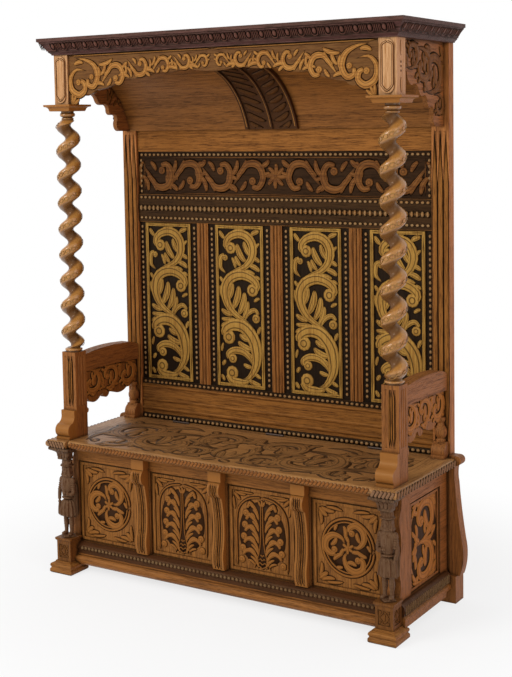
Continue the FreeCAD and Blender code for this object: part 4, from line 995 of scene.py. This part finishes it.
def side_leaves(pen):
    """Two great scrolls, one above the other, for a panel 200 mm wide and 280 mm tall."""
    pen.patch(0, 0, 112, 156)
    leaf_scroll(pen.moved((2, 68), 1, 1.2, 8))
    leaf_scroll(pen.moved((-2, -68), -1, 1.2, 188))
    pen.corner_leaves((56, 134, 94, 92, 0.2, 10), (30, 136, 94, 126, 0.12, 8))
    for hand in HANDS:
        pen.leaf(hand * 60, hand * -8, hand * 96, hand * 26, 0.25, 10)
        pen.leaf(hand * 66, hand * -26, hand * 96, hand * -52, 0.2, 9)


class SETTLE_OT_box_panels(bpy.types.Operator):
    """Carve the box's four front panels and its two side panels"""

    bl_idname = "settle.box_panels"
    bl_label = "Box panels"

    def execute(self, context):
        relief = context.scene.settle_carving.box_relief
        for name, x in panel_middles(BOX_PITCH):
            drawn = carving()
            motif = roundel if name.startswith("outer") else tree
            motif(Pen(drawn, relief, outline=0.0028))
            Pen(drawn, 0.003).frame(-122, -140, 122, 140, 2.2, 1.0)
            work = fix(carving(), drawn, set_on(x, BOX_SLAB_AHEAD, BOX_MIDDLE, FRONT))
            keep(f"box_carving_{name}", work, finish("box"))
        for side, name, view in SIDES:
            drawn = carving()
            side_leaves(Pen(drawn, relief, outline=0.0028))
            work = fix(carving(), drawn, set_on(side * 681, 221, BOX_MIDDLE, view))
            keep(f"side_carving_{name}", work, finish("side"))
        return {"FINISHED"}


class SETTLE_OT_base(bpy.types.Operator):
    """Bead the base's front moulding and reed its side mouldings"""

    bl_idname = "settle.base"
    bl_label = "Base beads"

    def execute(self, context):
        pitch = context.scene.settle_carving.base_bead_pitch / MM
        row = beads(int(1240 / pitch), (pitch, 0), 7.2, 6.8, 7)
        work = fix(carving(), row, set_on(0, 459.5, 94.5, FRONT))
        reed = carving()
        pen = Pen(reed, 0.006)
        for number in range(int(356 / REED_PITCH)):
            u = -178 + (number + 0.5) * REED_PITCH
            pen.bar(u - 8, -15, u + 8, 15, 4.6, rings=7)
        lean = Matrix.Rotation(math.radians(-14), 4, "X")
        fix(work, reed, *[set_on(side * 710.5, 251, 91, view) @ lean for side, _, view in SIDES])
        keep("base_beads", work, finish("bead"))
        return {"FINISHED"}


class SETTLE_OT_consoles(bpy.types.Operator):
    """Reed the consoles and carve lozenges on the pedestals"""

    bl_idname = "settle.consoles"
    bl_label = "Console reeds"

    def execute(self, context):
        reeds = carving()
        faces = surface("seat_consoles")
        for x in (-BOX_PITCH, 0, BOX_PITCH):
            drawn = carving()
            pen = Pen(drawn, 0.0034, outline=0.0022)
            for across in (-12, -4, 4, 12):
                pen.bar(across, 120, across, 426, 2.5, rings=40)
            drawn.transform(set_on(x, REAR, 0, FRONT))
            drape(drawn, faces, (0, -1, 0), least=0.172)
            fix(reeds, drawn, Matrix.Identity(4))
        keep("console_reeds", reeds, finish("reed"))
        drawn = carving()
        pen = Pen(drawn, 0.003)
        for x0, y0, x1, y1 in ((0, 22, 18, 0), (18, 0, 0, -22), (0, -22, -18, 0), (-18, 0, 0, 22)):
            pen.bar(x0, y0, x1, y1, 2.0, rings=5)
        pen.leaf(0, -14, 0, 14, 0.0, 6)
        for hand, up in CORNERS:
            pen.leaf(hand * 19, up * 22, hand * 11, up * 13, 0.1, 3.5)
        places = []
        for side, _, view in SIDES:
            places.append(set_on(side * FIGURE_X, 496, 83.5, FRONT))
            places.append(set_on(side * 699, FIGURE_AHEAD, 83.5, view))
        lozenges = fix(carving(), drawn, *places)
        keep("pedestal_carving", lozenges, finish("pedestal"))
        return {"FINISHED"}


class SETTLE_OT_posts(bpy.types.Operator):
    """Reed the front and rear posts"""

    bl_idname = "settle.posts"
    bl_label = "Post reeds"

    def execute(self, context):
        work = carving()
        for x, ahead, low, high, places in (
            (668.5, 39, 520, 1650, (-21, 0, 21)), (669.5, 441, 628, 818, (-4, 4, 12)),
        ):
            for side in HANDS:
                drawn = carving()
                pen = Pen(drawn, 0.0035, outline=0.0014)
                half_width = (places[1] - places[0]) / 2 - 1.2
                for across in places:
                    pen.bar(across, low, across, high, half_width)
                fix(work, drawn, set_on(side * x, ahead, 0, FRONT))
        keep("post_reeds", work, finish("reed"))
        return {"FINISHED"}


class SETTLE_OT_figures(bpy.types.Operator):
    """Carve the two figures and the leaves below their capitals"""

    bl_idname = "settle.figures"
    bl_label = "Figures"

    def execute(self, context):
        c = context.scene.settle_colours
        wood = oak("Figure carving", c.figure, c.frame_dark, "Z", depth=0.5, reach=0.006, grime_and_shade_colour=c.frame_dark)
        for side, name, _ in SIDES:
            figure = carving()
            carve_figure(figure)
            place = Matrix.Translation(Vector((side * FIGURE_X, REAR - FIGURE_AHEAD, PEDESTAL_TOP)) * MM)
            figure.transform(place @ Matrix.Diagonal((-side, -1, 1, 1)) @ Matrix.Scale(MM, 4))
            piece = keep(f"carved_figure_{name}", figure, wood, replaced=(f"figure_{name}",))
            joined = piece.modifiers.new("Joined", "REMESH")
            joined.mode = "VOXEL"
            joined.voxel_size = 0.0014
            joined.use_smooth_shade = True
        leaves = carving()
        faces = surface("figure_capitals")
        for side, _, side_view in SIDES:
            fronts = (FRONT, (0, -1, 0), side * FIGURE_X, REAR, 0.228)
            outsides = (side_view, (side, 0, 0), 0, FIGURE_AHEAD, 0.690)
            for view, out, x, ahead, least in (fronts, outsides):
                drawn = carving()
                pen = Pen(drawn, 0.006)
                for across in (-30, -10, 10, 30):
                    pen.leaf(across * 0.9, 474, across * 0.62, 438, 0.0, 8.5)
                drawn.transform(set_on(x, ahead, 0, view))
                drape(drawn, faces, out, least)
                fix(leaves, drawn, Matrix.Identity(4))
        keep("capital_leaves", leaves, wood)
        return {"FINISHED"}


def form(bm, knots, flutes=0, depth=0.0, waves=0, swell=0.0, sides=20, rings=14):
    """A closed form through oval sections: right, ahead, up, half width and half depth of each."""
    line = through([knot[:3] for knot in knots])
    size = through([knot[3:] for knot in knots])

    def put(co):
        t = math.acos(max(-1.0, min(1.0, -co.z))) / math.pi
        turn = math.atan2(co.y, co.x)
        way = (line(min(1.0, t + 0.02)) - line(max(0.0, t - 0.02))).normalized()
        ahead = Vector((0, 1, 0)) if abs(way.y) < 0.9 else Vector((0, 0, 1))
        across = way.cross(ahead).normalized()
        ahead = across.cross(way)
        reach = min(1.0, math.hypot(co.x, co.y) * 2.4)
        reach *= 1 + depth * math.cos(flutes * turn) + swell * math.cos(math.tau * waves * t)
        wide, deep = size(t)
        rim = across * (math.cos(turn) * wide) + ahead * (math.sin(turn) * deep)
        return line(t) + rim * reach, 1.0, 0.0

    rounded(bm, sides, rings, put)


def ball(bm, x, ahead, up, half_wide, half_deep, half_high):
    """An egg-shaped swelling."""
    middle = Vector((x, ahead, up))
    rounded(bm, 14, 10, lambda co: (middle + co * Vector((half_wide, half_deep, half_high)), 1.0, 0.0))


CURLS = ((-3, 274, 4, 4), (0, 262, 4.8, 4.4), (1, 248, 4.6, 4.4), (4, 236, 5.2, 4.4), (2, 227, 3, 3))


def carve_figure(bm):
    """A standing man in a hat, puffed sleeves, a pleated skirt and boots, one hand at the waist."""
    form(bm, [(0, 1, 0, 30, 29), (0, 1, 3, 30, 29), (0, 1, 7, 29, 28)], sides=4)
    for hand in HANDS:
        form(bm, [(hand * 10, -8, 13, 8, 7), (hand * 13, 4, 13, 8, 7.5), (hand * 18, 20, 10, 7, 5)])
        leg = ((-2, 10, 8, 8.5), (-2, 26, 7, 7.5), (-3, 52, 9.6, 10.5), (0, 74, 8.4, 9), (0, 102, 10.5, 11.5))
        form(bm, [(hand * 12.5, *knot) for knot in leg], waves=9, swell=0.05, rings=40)
        cuff = ((0, 76, 10.5, 11), (0, 80, 11, 11.5), (0, 84, 10, 11))
        form(bm, [(hand * 12.5, *knot) for knot in cuff])
        ball(bm, hand * 25, 0, 216, 11.5, 11, 13)
        for number in range(5):
            ball(bm, hand * (28 + number * 0.9), 1 + number, 211 - number * 8, 9.6, 10, 4.4)
    form(bm, [(31, 3, 190, 8.5, 8.5), (32, 6, 172, 8, 8), (26, 14, 166, 7.5, 7.5), (8, 22, 172, 6, 6)])
    ball(bm, 17, 20, 169, 6, 8, 9)
    ball(bm, 3, 24, 173, 8, 5, 5.5)
    arm = [(-31, 3, 190, 8.5, 8.5), (-35, 4, 170, 7.5, 7.5), (-33, 9, 150, 6.5, 6.5), (-30, 13, 138, 6, 6)]
    form(bm, arm)
    ball(bm, -29, 14, 134, 6, 6, 7)
    form(bm, [(-30, 14, 136, 3, 3), (-33, 12, 104, 5, 5), (-35, 10, 78, 6, 4)])
    skirt = [(0, 0, 76, 33, 27), (0, 0, 92, 33, 26.5), (0, 0, 120, 29, 23), (0, 0, 150, 21, 17)]
    form(bm, skirt, 12, 0.1, sides=96, rings=18)
    chest = [(0, 0, 146, 20, 16), (0, 1, 166, 22, 18), (0, 2, 192, 26, 20)]
    form(bm, [*chest, (0, 1, 214, 27, 17), (0, 0, 230, 18, 13), (0, 0, 242, 9, 9)])
    form(bm, [(0, 0, 147, 23, 19), (0, 0, 151, 24, 20), (0, 0, 155, 23, 19)])
    form(bm, [(0, 8, 180, 5, 14), (0, 9, 200, 8, 14), (0, 6, 226, 13, 12)], 6, 0.12, sides=48)
    for number in range(4):
        ball(bm, 0, 20 + number * 0.6, 164 + number * 10, 2.8, 2.8, 2.8)
    form(bm, [(0, 1, 230, 20, 17), (0, 1, 236, 20, 17), (0, 1, 240, 15, 14)], 12, 0.08, sides=72)
    cape = [(0, -13, 60, 32, 10), (0, -15, 110, 32, 10), (0, -15, 170, 31, 10), (0, -12, 222, 26, 10)]
    form(bm, cape, 9, 0.12, sides=72, rings=18)
    ball(bm, 0, 3, 260, 13, 14.5, 17)
    ball(bm, 0, 7, 253, 12, 9.6, 15.5)
    ball(bm, 0, 5, 241, 13, 9.5, 8)
    form(bm, [(0, 15.5, 266, 2, 2), (0, 18, 260, 2.4, 2.4), (0, 19.2, 256, 3.1, 2.8)], rings=8)
    form(bm, [(-9, 13.4, 265.6, 1.7, 1.7), (0, 16, 267, 1.9, 1.9), (9, 13.4, 265.6, 1.7, 1.7)], rings=8)
    ball(bm, 0, 16.4, 250.6, 4.4, 2, 1.4)
    ball(bm, 0, 16.1, 248.0, 3.6, 2, 1.3)
    ball(bm, 0, 13.8, 244.5, 5, 4, 3.6)
    for hand in HANDS:
        ball(bm, hand * 5.2, 13.8, 261.4, 4.4, 3.8, 3.4)
        ball(bm, hand * 6.2, 12.2, 255.5, 4.8, 4.6, 5.4)
        for number, back in enumerate((7, 1, -6)):
            out = 14 + number * 0.5
            lock = [(hand * (out + curl[0]), back, *curl[1:]) for curl in CURLS]
            form(bm, lock, waves=4, swell=0.12, rings=26)
    form(bm, [(0, -8, 228, 15, 8), (0, -9, 250, 15, 8), (0, -6, 274, 13, 9)], 8, 0.1, sides=48)
    form(bm, [(0, 1, 271, 25, 24), (0, 1, 275, 25.5, 24.5), (0, 1, 278, 22, 21)], 5, 0.03, sides=40)
    form(bm, [(0, 0, 272, 18, 17), (0, 0, 286, 19, 18), (0, 0, 299, 17, 16)], 8, 0.05, sides=48)
    form(bm, [(0, 0, 279, 20, 19), (0, 0, 282, 20, 19)])
    form(bm, [(16, 10, 280, 3, 3), (21, 4, 290, 4, 3), (16, -6, 296, 3, 3)])


# Carving of the seat


def seat_half(pen):
    """The right half of the seat's flat scrolls, 600 mm wide and 370 mm deep."""
    leaf_scroll(pen.moved((486, 40), 1, 1.9, 0))
    leaf_scroll(pen.moved((300, -30), -1, 2.1, 180))
    leaf_scroll(pen.moved((128, 60), 1, 1.5, 20))
    leaf_scroll(pen.moved((150, -110), -1, 1.1, 0))
    leaf_scroll(pen.moved((470, -130), 1, 1.0, 160), fans=False)
    pen.band([(20, -150), (60, -90), (60, -20), (30, 20)], 16)
    pen.band([(590, -170), (604, -80), (590, 0), (604, 90)], 13)
    pen.band([(260, 150), (330, 172), (400, 150), (420, 110)], 14)
    pen.leaves(
        (330, -150, 260, -176, 0.2, 12), (60, -178, 10, -150, 0.2, 12), (370, 40, 380, 130, 0.2, 14),
        (20, 60, 4, 160, 0.0, 13), (200, 130, 240, 176, 0.2, 12), (560, 130, 604, 170, 0.2, 12),
        (380, -176, 420, -110, 0.2, 13), (540, -176, 590, -130, 0.2, 12),
    )


class SETTLE_OT_seat(bpy.types.Operator):
    """Carve the seat's flat scrolls, and the slanted reeds of its edges"""

    bl_idname = "settle.seat"
    bl_label = "Seat carving"

    def execute(self, context):
        sizes = context.scene.settle_carving
        half = carving()
        seat_half(Pen(half, sizes.seat_relief, outline=0.009))
        middle = carving()
        palmette(Pen(middle, sizes.seat_relief, at=(0, -150)), (-22, 0, 22), 110, 16)
        palmette(Pen(middle, sizes.seat_relief, at=(0, 160)), (160, 180, 200), 90, 13)
        work = carving()
        fix(work, half, *[set_on(0, SEAT_MIDDLE_AHEAD, SEAT_TOP, ABOVE, hand) for hand in HANDS])
        fix(work, middle, set_on(0, SEAT_MIDDLE_AHEAD, SEAT_TOP, ABOVE))
        keep("seat_carving", work, finish("seat"), body=LID)
        reeds = self.reeds(-627, 627, 14.5, 6.0, 10, 0.0016)
        lid_edge = fix(carving(), reeds, set_on(0, 505, SEAT_EDGE_Z, FRONT))
        keep("lid_edge_reeds", lid_edge, finish("lid edge"), body=LID)
        ends = carving()
        front = self.reeds(638, 722, sizes.gadroon_pitch / MM, 5.8, 13, 0.0045)
        fix(ends, front, *[set_on(0, 519.2, SEAT_EDGE_Z, FRONT, hand) for hand in HANDS])
        side_reeds = self.reeds(-256, 206, 21, 7.6, 12, 0.0052)
        places = [set_on(side * 726.2, REAR, SEAT_EDGE_Z, view, side) for side, _, view in SIDES]
        fix(ends, side_reeds, *places)
        keep("seat_end_reeds", ends, finish("edge"))
        return {"FINISHED"}

    def reeds(self, low, high, pitch, half_width, half_high, height):
        """A row of slanted reeds between two places."""
        row = carving()
        pen = Pen(row, height)
        for number in range(int((high - low) / pitch)):
            x = low + (number + 0.5) * pitch
            pen.bar(x - 8, -half_high, x + 8, half_high, half_width)
        return row


# Carving of the arms and the hood


def apron_leaves(pen):
    """Three scrolls in a row for an arm's apron, 330 mm long."""
    for number, x in enumerate((-112, -4, 104)):
        up = 1 if number % 2 else -1
        leaf_scroll(pen.moved((x, 40), up, 0.8, 180 if up < 0 else 0))
    for x in (-112, -4, 104):
        pen.leaves((x - 26, 0, x + 4, -22, 0.25, 8), (x + 30, 0, x + 6, -22, -0.25, 8))
        pen.head(x + 5, -14, 7)
        pen.leaf(x + 40, 70, x + 64, 20, 0.2, 7)


def valance_half(pen):
    """The right half of the hood's front scrolls, 638 mm long, drawn down from its top edge."""
    pen.band(
        [(552, -62), (600, -56), (628, -86), (624, -128),
         (590, -148), (562, -130), (566, -104), (584, -98)], 14
    )
    pen.head(592, -102, 12)
    pen.band([(604, -14), (556, -22), (516, -44), (502, -84), (520, -118), (546, -112), (546, -88)], 13)
    pen.head(530, -84, 11)
    pen.leaf(566, -34, 612, -40, 0.35, 9)
    pen.leaf(500, -40, 430, -20, 0.25, 9)
    for x, y, scale, flip in (
        (430, -76, 0.92, 1), (318, -58, 0.76, -1), (216, -50, 0.66, 1),
        (124, -46, 0.62, -1), (44, -44, 0.5, 1),
    ):
        wave_scroll(pen.moved((x, y), flip, scale, 0 if flip > 0 else 180))
    for x, y in ((494, -126), (380, -100), (268, -86), (168, -80), (80, -78)):
        pen.leaf(x + 30, y + 14, x - 26, y + 6, -0.35, 8)
    for way in (-56, -30, -6):
        x = math.sin(math.radians(way)) * 46
        y = math.cos(math.radians(way)) * 46
        pen.leaf(626, -186, 626 + x, -186 + y, 0.1, 7)
    pen.rail([(0, -5), (200, -5), (420, -5), (632, -5)], 2.6, 0.5, 24)


def side_valance_leaves(pen):
    """Scrolls that grow with the side valance's depth, drawn from the post towards the wall."""
    leaf_scroll(pen.moved((88, -52), 1, 0.74, 0))
    leaf_scroll(pen.moved((172, -78), -1, 0.94, 180))
    leaf_scroll(pen.moved((252, -108), 1, 1.1, 0))
    leaf_scroll(pen.moved((296, -208), -1, 0.58, 180), fans=False)
    pen.leaves(
        (180, -20, 240, -34, 0.2, 9), (300, -14, 326, -70, 0.2, 9), (240, -170, 282, -168, 0.2, 9),
        (20, -20, 50, -90, 0.1, 9), (318, -180, 324, -250, 0.1, 7),
    )


class SETTLE_OT_hood_carving(bpy.types.Operator):
    """Carve the valances, the arm aprons, the upper blocks and the cove's rib"""

    bl_idname = "settle.hood_carving"
    bl_label = "Hood and arm carving"

    def execute(self, context):
        relief = context.scene.settle_carving.hood_relief
        half = carving()
        valance_half(Pen(half, relief, outline=0.0024))
        work = carving()
        fix(work, half, *[set_on(0, VALANCE_AHEAD, VALANCE_TOP, FRONT, hand) for hand in HANDS])
        keep("valance_carving", work, finish("valance"))
        sides = carving()
        outer = carving()
        side_valance_leaves(Pen(outer, relief, at=(-170, 0), outline=0.003))
        fix(sides, outer, *[set_on(side * 682, 208, VALANCE_TOP, view, side) for side, _, view in SIDES])
        inner = carving()
        wave_scroll(Pen(inner, relief).moved((10, 26), 1, 0.8, 0))
        wave_scroll(Pen(inner, relief).moved((88, 84), 1, 0.55, 0))
        fix(sides, inner, set_on(664, 108, 1764, LEFT), set_on(-664, 108, 1764, RIGHT, -1))
        keep("side_valance_carving", sides, finish("side hood"))
        drawn = carving()
        apron_leaves(Pen(drawn, relief, outline=0.003))
        faces = ((680, RIGHT), (-680, LEFT), (660, LEFT), (-660, RIGHT))
        aprons = fix(carving(), drawn, *[set_on(x, 208, 662, view) for x, view in faces])
        keep("apron_carving", aprons, finish("side"))
        self.carve_blocks()
        self.carve_rib(relief)
        return {"FINISHED"}

    def carve_blocks(self):
        """A long ring on the front of each upper block, and two leaves and three studs on its side."""
        blocks = carving()
        drawn = carving()
        ogee = [(0, 78), (18, 68), (19, 40), (19, -40), (18, -60), (0, -76)]
        ogee += [(-x, y) for x, y in reversed(ogee[:-1])]
        Pen(drawn, 0.0028, outline=0.002).rail(ogee, 2.0, 1.0, 60)
        fix(blocks, drawn, *[set_on(x, 446, 1848, FRONT) for x in (-COLUMN_X, COLUMN_X)])
        drawn = carving()
        for z in (-14, 0, 14):
            boss(drawn, (0, z * MM), 0.0045, 0.0045, 0.0008, top=0.0)
        pen = Pen(drawn, 0.0028, outline=0.002)
        for z in (-58, 58):
            pen.leaf(0, z - 26, 0, z + 26, 0.0, 5, 0.6)
        fix(blocks, drawn, *[set_on(side * 701, 410, 1848, view) for side, _, view in SIDES])
        keep("block_carving", blocks, finish("pale"))

    def carve_rib(self, relief):
        """Leaves and raised edges that follow the bent rib."""
        leaves = carving()
        pen = Pen(leaves, relief)
        for number in range(11):
            y = 18 + number * 39
            for hand in HANDS:
                pen.leaf(hand * 14, y - 22, hand * 92, y + 20, -0.2 * hand, 12)
        self.wrap("rib_carving", leaves, "rib")
        edges = carving()
        pen = Pen(edges, relief)
        for x in (-104, 104):
            pen.rail([(x, 4), (x, 220), (x, 440)], 5.5, 1.0, 40)
        pen.rail([(0, 4), (0, 220), (0, 440)], 4.0, 1.0, 40)
        self.wrap("rib_edges", edges, "rib edge")

    def wrap(self, name, drawn, kind):
        """Bends flat work round the cove's circle."""
        start, middle, end = (Vector(point) for point in COVE_ARC)
        a = middle - start
        b = end - middle
        turn = a.x * b.y - a.y * b.x
        reach = (end - start).dot(b) / (2 * turn)
        centre = (start + middle) / 2 + Vector((-a.y, a.x)) * reach
        radius = (start - centre).length
        from_way = math.atan2(start.y - centre.y, start.x - centre.x)
        for vert in drawn.verts:
            way = from_way - vert.co.y / MM / radius
            out = radius - RIB_THICK - vert.co.z / MM
            ahead = centre.x + math.cos(way) * out
            up = centre.y + math.sin(way) * out
            vert.co = Vector((vert.co.x, (REAR - ahead) * MM, up * MM))
        front = (REAR - RIB_END_AHEAD) * MM
        beyond = [vert for vert in drawn.verts if vert.co.y < front or vert.co.z < RIB_FOOT * MM]
        bmesh.ops.delete(drawn, geom=beyond, context="VERTS")
        keep(name, drawn, finish(kind))


class SETTLE_OT_columns(bpy.types.Operator):
    """Carve a chain of rings along the crest of each twist column"""

    bl_idname = "settle.columns"
    bl_label = "Column carving"

    def execute(self, context):
        ring = carving()
        Pen(ring, 0.0016).ring(10, 6.5, 1.3, 1.0, 8, 16)
        for side, phase, name in ((-1, 104.0, "left"), (1, 343.0, "right")):
            faces = surface(f"column_{name}")
            work = carving()
            z = TWIST_LOW
            while z < TWIST_HIGH:
                way = math.radians(phase + 360 * z / TWIST_PITCH)
                out = Vector((math.cos(way), math.sin(way), 0))
                start = Vector((side * COLUMN_X, REAR - COLUMN_AHEAD, z)) * MM
                at, normal, _, _ = faces.ray_cast(start + out * 0.1, -out)
                up = (Vector((-out.y, out.x, 0)) * TWIST_ROUND + Vector((0, 0, TWIST_PITCH))).normalized()
                turn = Matrix((up, normal.cross(up).normalized(), normal)).transposed().to_4x4()
                stamp(work, ring, Matrix.Translation(at) @ turn)
                z += RING_PITCH
            keep(f"column_carving_{name}", work, finish("rope"))
        ring.free()
        return {"FINISHED"}


class SETTLE_OT_cornice(bpy.types.Operator):
    """Carve eggs and darts round the cornice"""

    bl_idname = "settle.cornice"
    bl_label = "Cornice"

    def execute(self, context):
        pitch = context.scene.settle_carving.egg_pitch / MM
        unit = carving()
        pen = Pen(unit, 0.008)
        boss(unit, (0, 0.001), 0.0085, 0.0128, 0.007)
        pen.rail([(-13, 15), (-13, 0), (-9, -12), (0, -16), (9, -12), (13, 0), (13, 15)], 1.7, 0.6, 16)
        for x in (18, 25, 32):
            pen.leaf(x, 16, x, -16, 0.0, 2.4, 0.6)
        tilt = Matrix.Rotation(math.radians(EGG_LEAN), 4, "X")
        sunk = tilt @ Matrix.Diagonal((1, 1, 0.35, 1))
        wide = int(1440 / pitch)
        deep = int(440 / pitch) + 1
        places = []
        for number in range(wide):
            places.append(set_on((number - (wide - 1) / 2) * pitch, 472, EGG_Z, FRONT) @ tilt)
        for number in range(deep):
            for side, _, view in SIDES:
                places.append(set_on(side * 732, 20 + (number + 0.5) * pitch, EGG_Z, view) @ sunk)
        keep("cornice_eggs", fix(carving(), unit, *places), finish("egg"))
        return {"FINISHED"}


# The stage


def seen_rays(tree):
    """One for rays that come straight from the camera, off a mirror or through glass."""
    path = node(tree, "ShaderNodeLightPath")
    total = path.outputs["Is Camera Ray"]
    for kind in ("Is Glossy Ray", "Is Transmission Ray"):
        total = maths(tree, "ADD", total, path.outputs[kind], clamp=True)
    return total


def mix_shaders(tree, share, first, second):
    mix = node(tree, "ShaderNodeMixShader")
    for socket, value in zip(mix.inputs, (share, first, second)):
        tree.links.new(value, socket)
    return mix.outputs["Shader"]


class SETTLE_OT_stage(bpy.types.Operator):
    """Set the floor, the lamps and the camera"""

    bl_idname = "settle.stage"
    bl_label = "Stage"

    def execute(self, context):
        s = context.scene.settle_stage
        scene = context.scene
        scene.view_settings.view_transform = "Standard"
        self.make_floor()
        self.make_world(s.sky)
        self.make_lamp("Key lamp", (-2.2, -4.2, 3.4), 2.4, s.key_power)
        self.make_lamp("Fill lamp", (3.6, -1.6, 2.4), 2.2, s.fill_power)
        self.make_camera(s)
        return {"FINISHED"}

    def make_floor(self):
        bm = bmesh.new()
        bmesh.ops.create_grid(bm, x_segments=2, y_segments=2, size=30.0)
        mesh = bpy.data.meshes.new("floor")
        bm.to_mesh(mesh)
        bm.free()
        floor = bpy.data.objects.new("floor", mesh)
        bpy.context.scene.collection.objects.link(floor)
        material, tree, surface = new_material("Pale floor")
        fill(surface, Base_Color=(0.9, 0.9, 0.9, 1), Roughness=0.9, Specular_IOR_Level=0.1)
        glow = node(tree, "ShaderNodeEmission", Strength=1.0)
        reach = vector_maths(tree, "LENGTH", object_place(tree))
        fade = ramp(tree, reach, 0.75, 1.7, 0.75, 1.0)
        share = maths(tree, "MULTIPLY", fade, seen_rays(tree))
        shown = mix_shaders(tree, share, surface.outputs["BSDF"], glow.outputs["Emission"])
        tree.links.new(shown, tree.nodes["Material Output"].inputs["Surface"])
        mesh.materials.append(material)

    def make_world(self, sky):
        world = bpy.data.worlds.new("Pale room")
        bpy.context.scene.world = world
        world.use_nodes = True
        tree = world.node_tree
        light = tree.nodes["Background"]
        fill(light, Color=(1, 1, 1, 1), Strength=sky)
        shown = node(tree, "ShaderNodeBackground", Color=(1, 1, 1, 1), Strength=1.0)
        mixed = mix_shaders(tree, seen_rays(tree), light.outputs["Background"], shown.outputs["Background"])
        tree.links.new(mixed, tree.nodes["World Output"].inputs["Surface"])

    def make_lamp(self, name, at, size, power):
        lamp = bpy.data.lights.new(name, "AREA")
        lamp.energy = power
        lamp.size = size
        lamp_object = bpy.data.objects.new(name, lamp)
        lamp_object.location = at
        aim = Vector((0, 0, 1.0)) - Vector(at)
        lamp_object.rotation_euler = aim.to_track_quat("-Z", "Y").to_euler()
        bpy.context.scene.collection.objects.link(lamp_object)

    def make_camera(self, s):
        camera = bpy.data.cameras.new("Camera")
        camera.sensor_width = 36.0
        camera.lens = s.lens
        camera.shift_y = s.shift
        camera.clip_start = 0.1
        camera.clip_end = 100.0
        camera_object = bpy.data.objects.new("Camera", camera)
        look = Matrix.Rotation(s.yaw, 4, "Z") @ Matrix.Rotation(math.pi / 2 - s.pitch, 4, "X")
        look = look @ Matrix.Rotation(-s.roll, 4, "Z")
        camera_object.matrix_world = Matrix.Translation((s.camera_x, s.camera_y, s.camera_z)) @ look
        bpy.context.scene.collection.objects.link(camera_object)
        bpy.context.scene.camera = camera_object


class SETTLE_PT_panel(bpy.types.Panel):
    """Lists the settle's operators"""

    bl_idname = "SETTLE_PT_panel"
    bl_label = "Settle"
    bl_space_type = "VIEW_3D"
    bl_region_type = "UI"
    bl_category = "Settle"

    def draw(self, context):
        for operator in OPERATORS:
            self.layout.operator(operator.bl_idname)


GROUPS = (SettleCarving, SettleColours, SettleStage)
OPERATORS = (
    SETTLE_OT_woodwork,
    SETTLE_OT_back_panels,
    SETTLE_OT_frieze,
    SETTLE_OT_pearls,
    SETTLE_OT_box_panels,
    SETTLE_OT_base,
    SETTLE_OT_consoles,
    SETTLE_OT_posts,
    SETTLE_OT_figures,
    SETTLE_OT_seat,
    SETTLE_OT_hood_carving,
    SETTLE_OT_columns,
    SETTLE_OT_cornice,
    SETTLE_OT_stage,
)


def register():
    for item in (*GROUPS, *OPERATORS, SETTLE_PT_panel):
        bpy.utils.register_class(item)
    bpy.types.Scene.settle_carving = bpy.props.PointerProperty(type=SettleCarving)
    bpy.types.Scene.settle_colours = bpy.props.PointerProperty(type=SettleColours)
    bpy.types.Scene.settle_stage = bpy.props.PointerProperty(type=SettleStage)


def unregister():
    del bpy.types.Scene.settle_stage
    del bpy.types.Scene.settle_colours
    del bpy.types.Scene.settle_carving
    for item in reversed((*GROUPS, *OPERATORS, SETTLE_PT_panel)):
        bpy.utils.unregister_class(item)


def main():
    register()
    for operator in OPERATORS:
        getattr(bpy.ops.settle, operator.bl_idname.split(".")[1])()


if __name__ == "__main__":
    main()
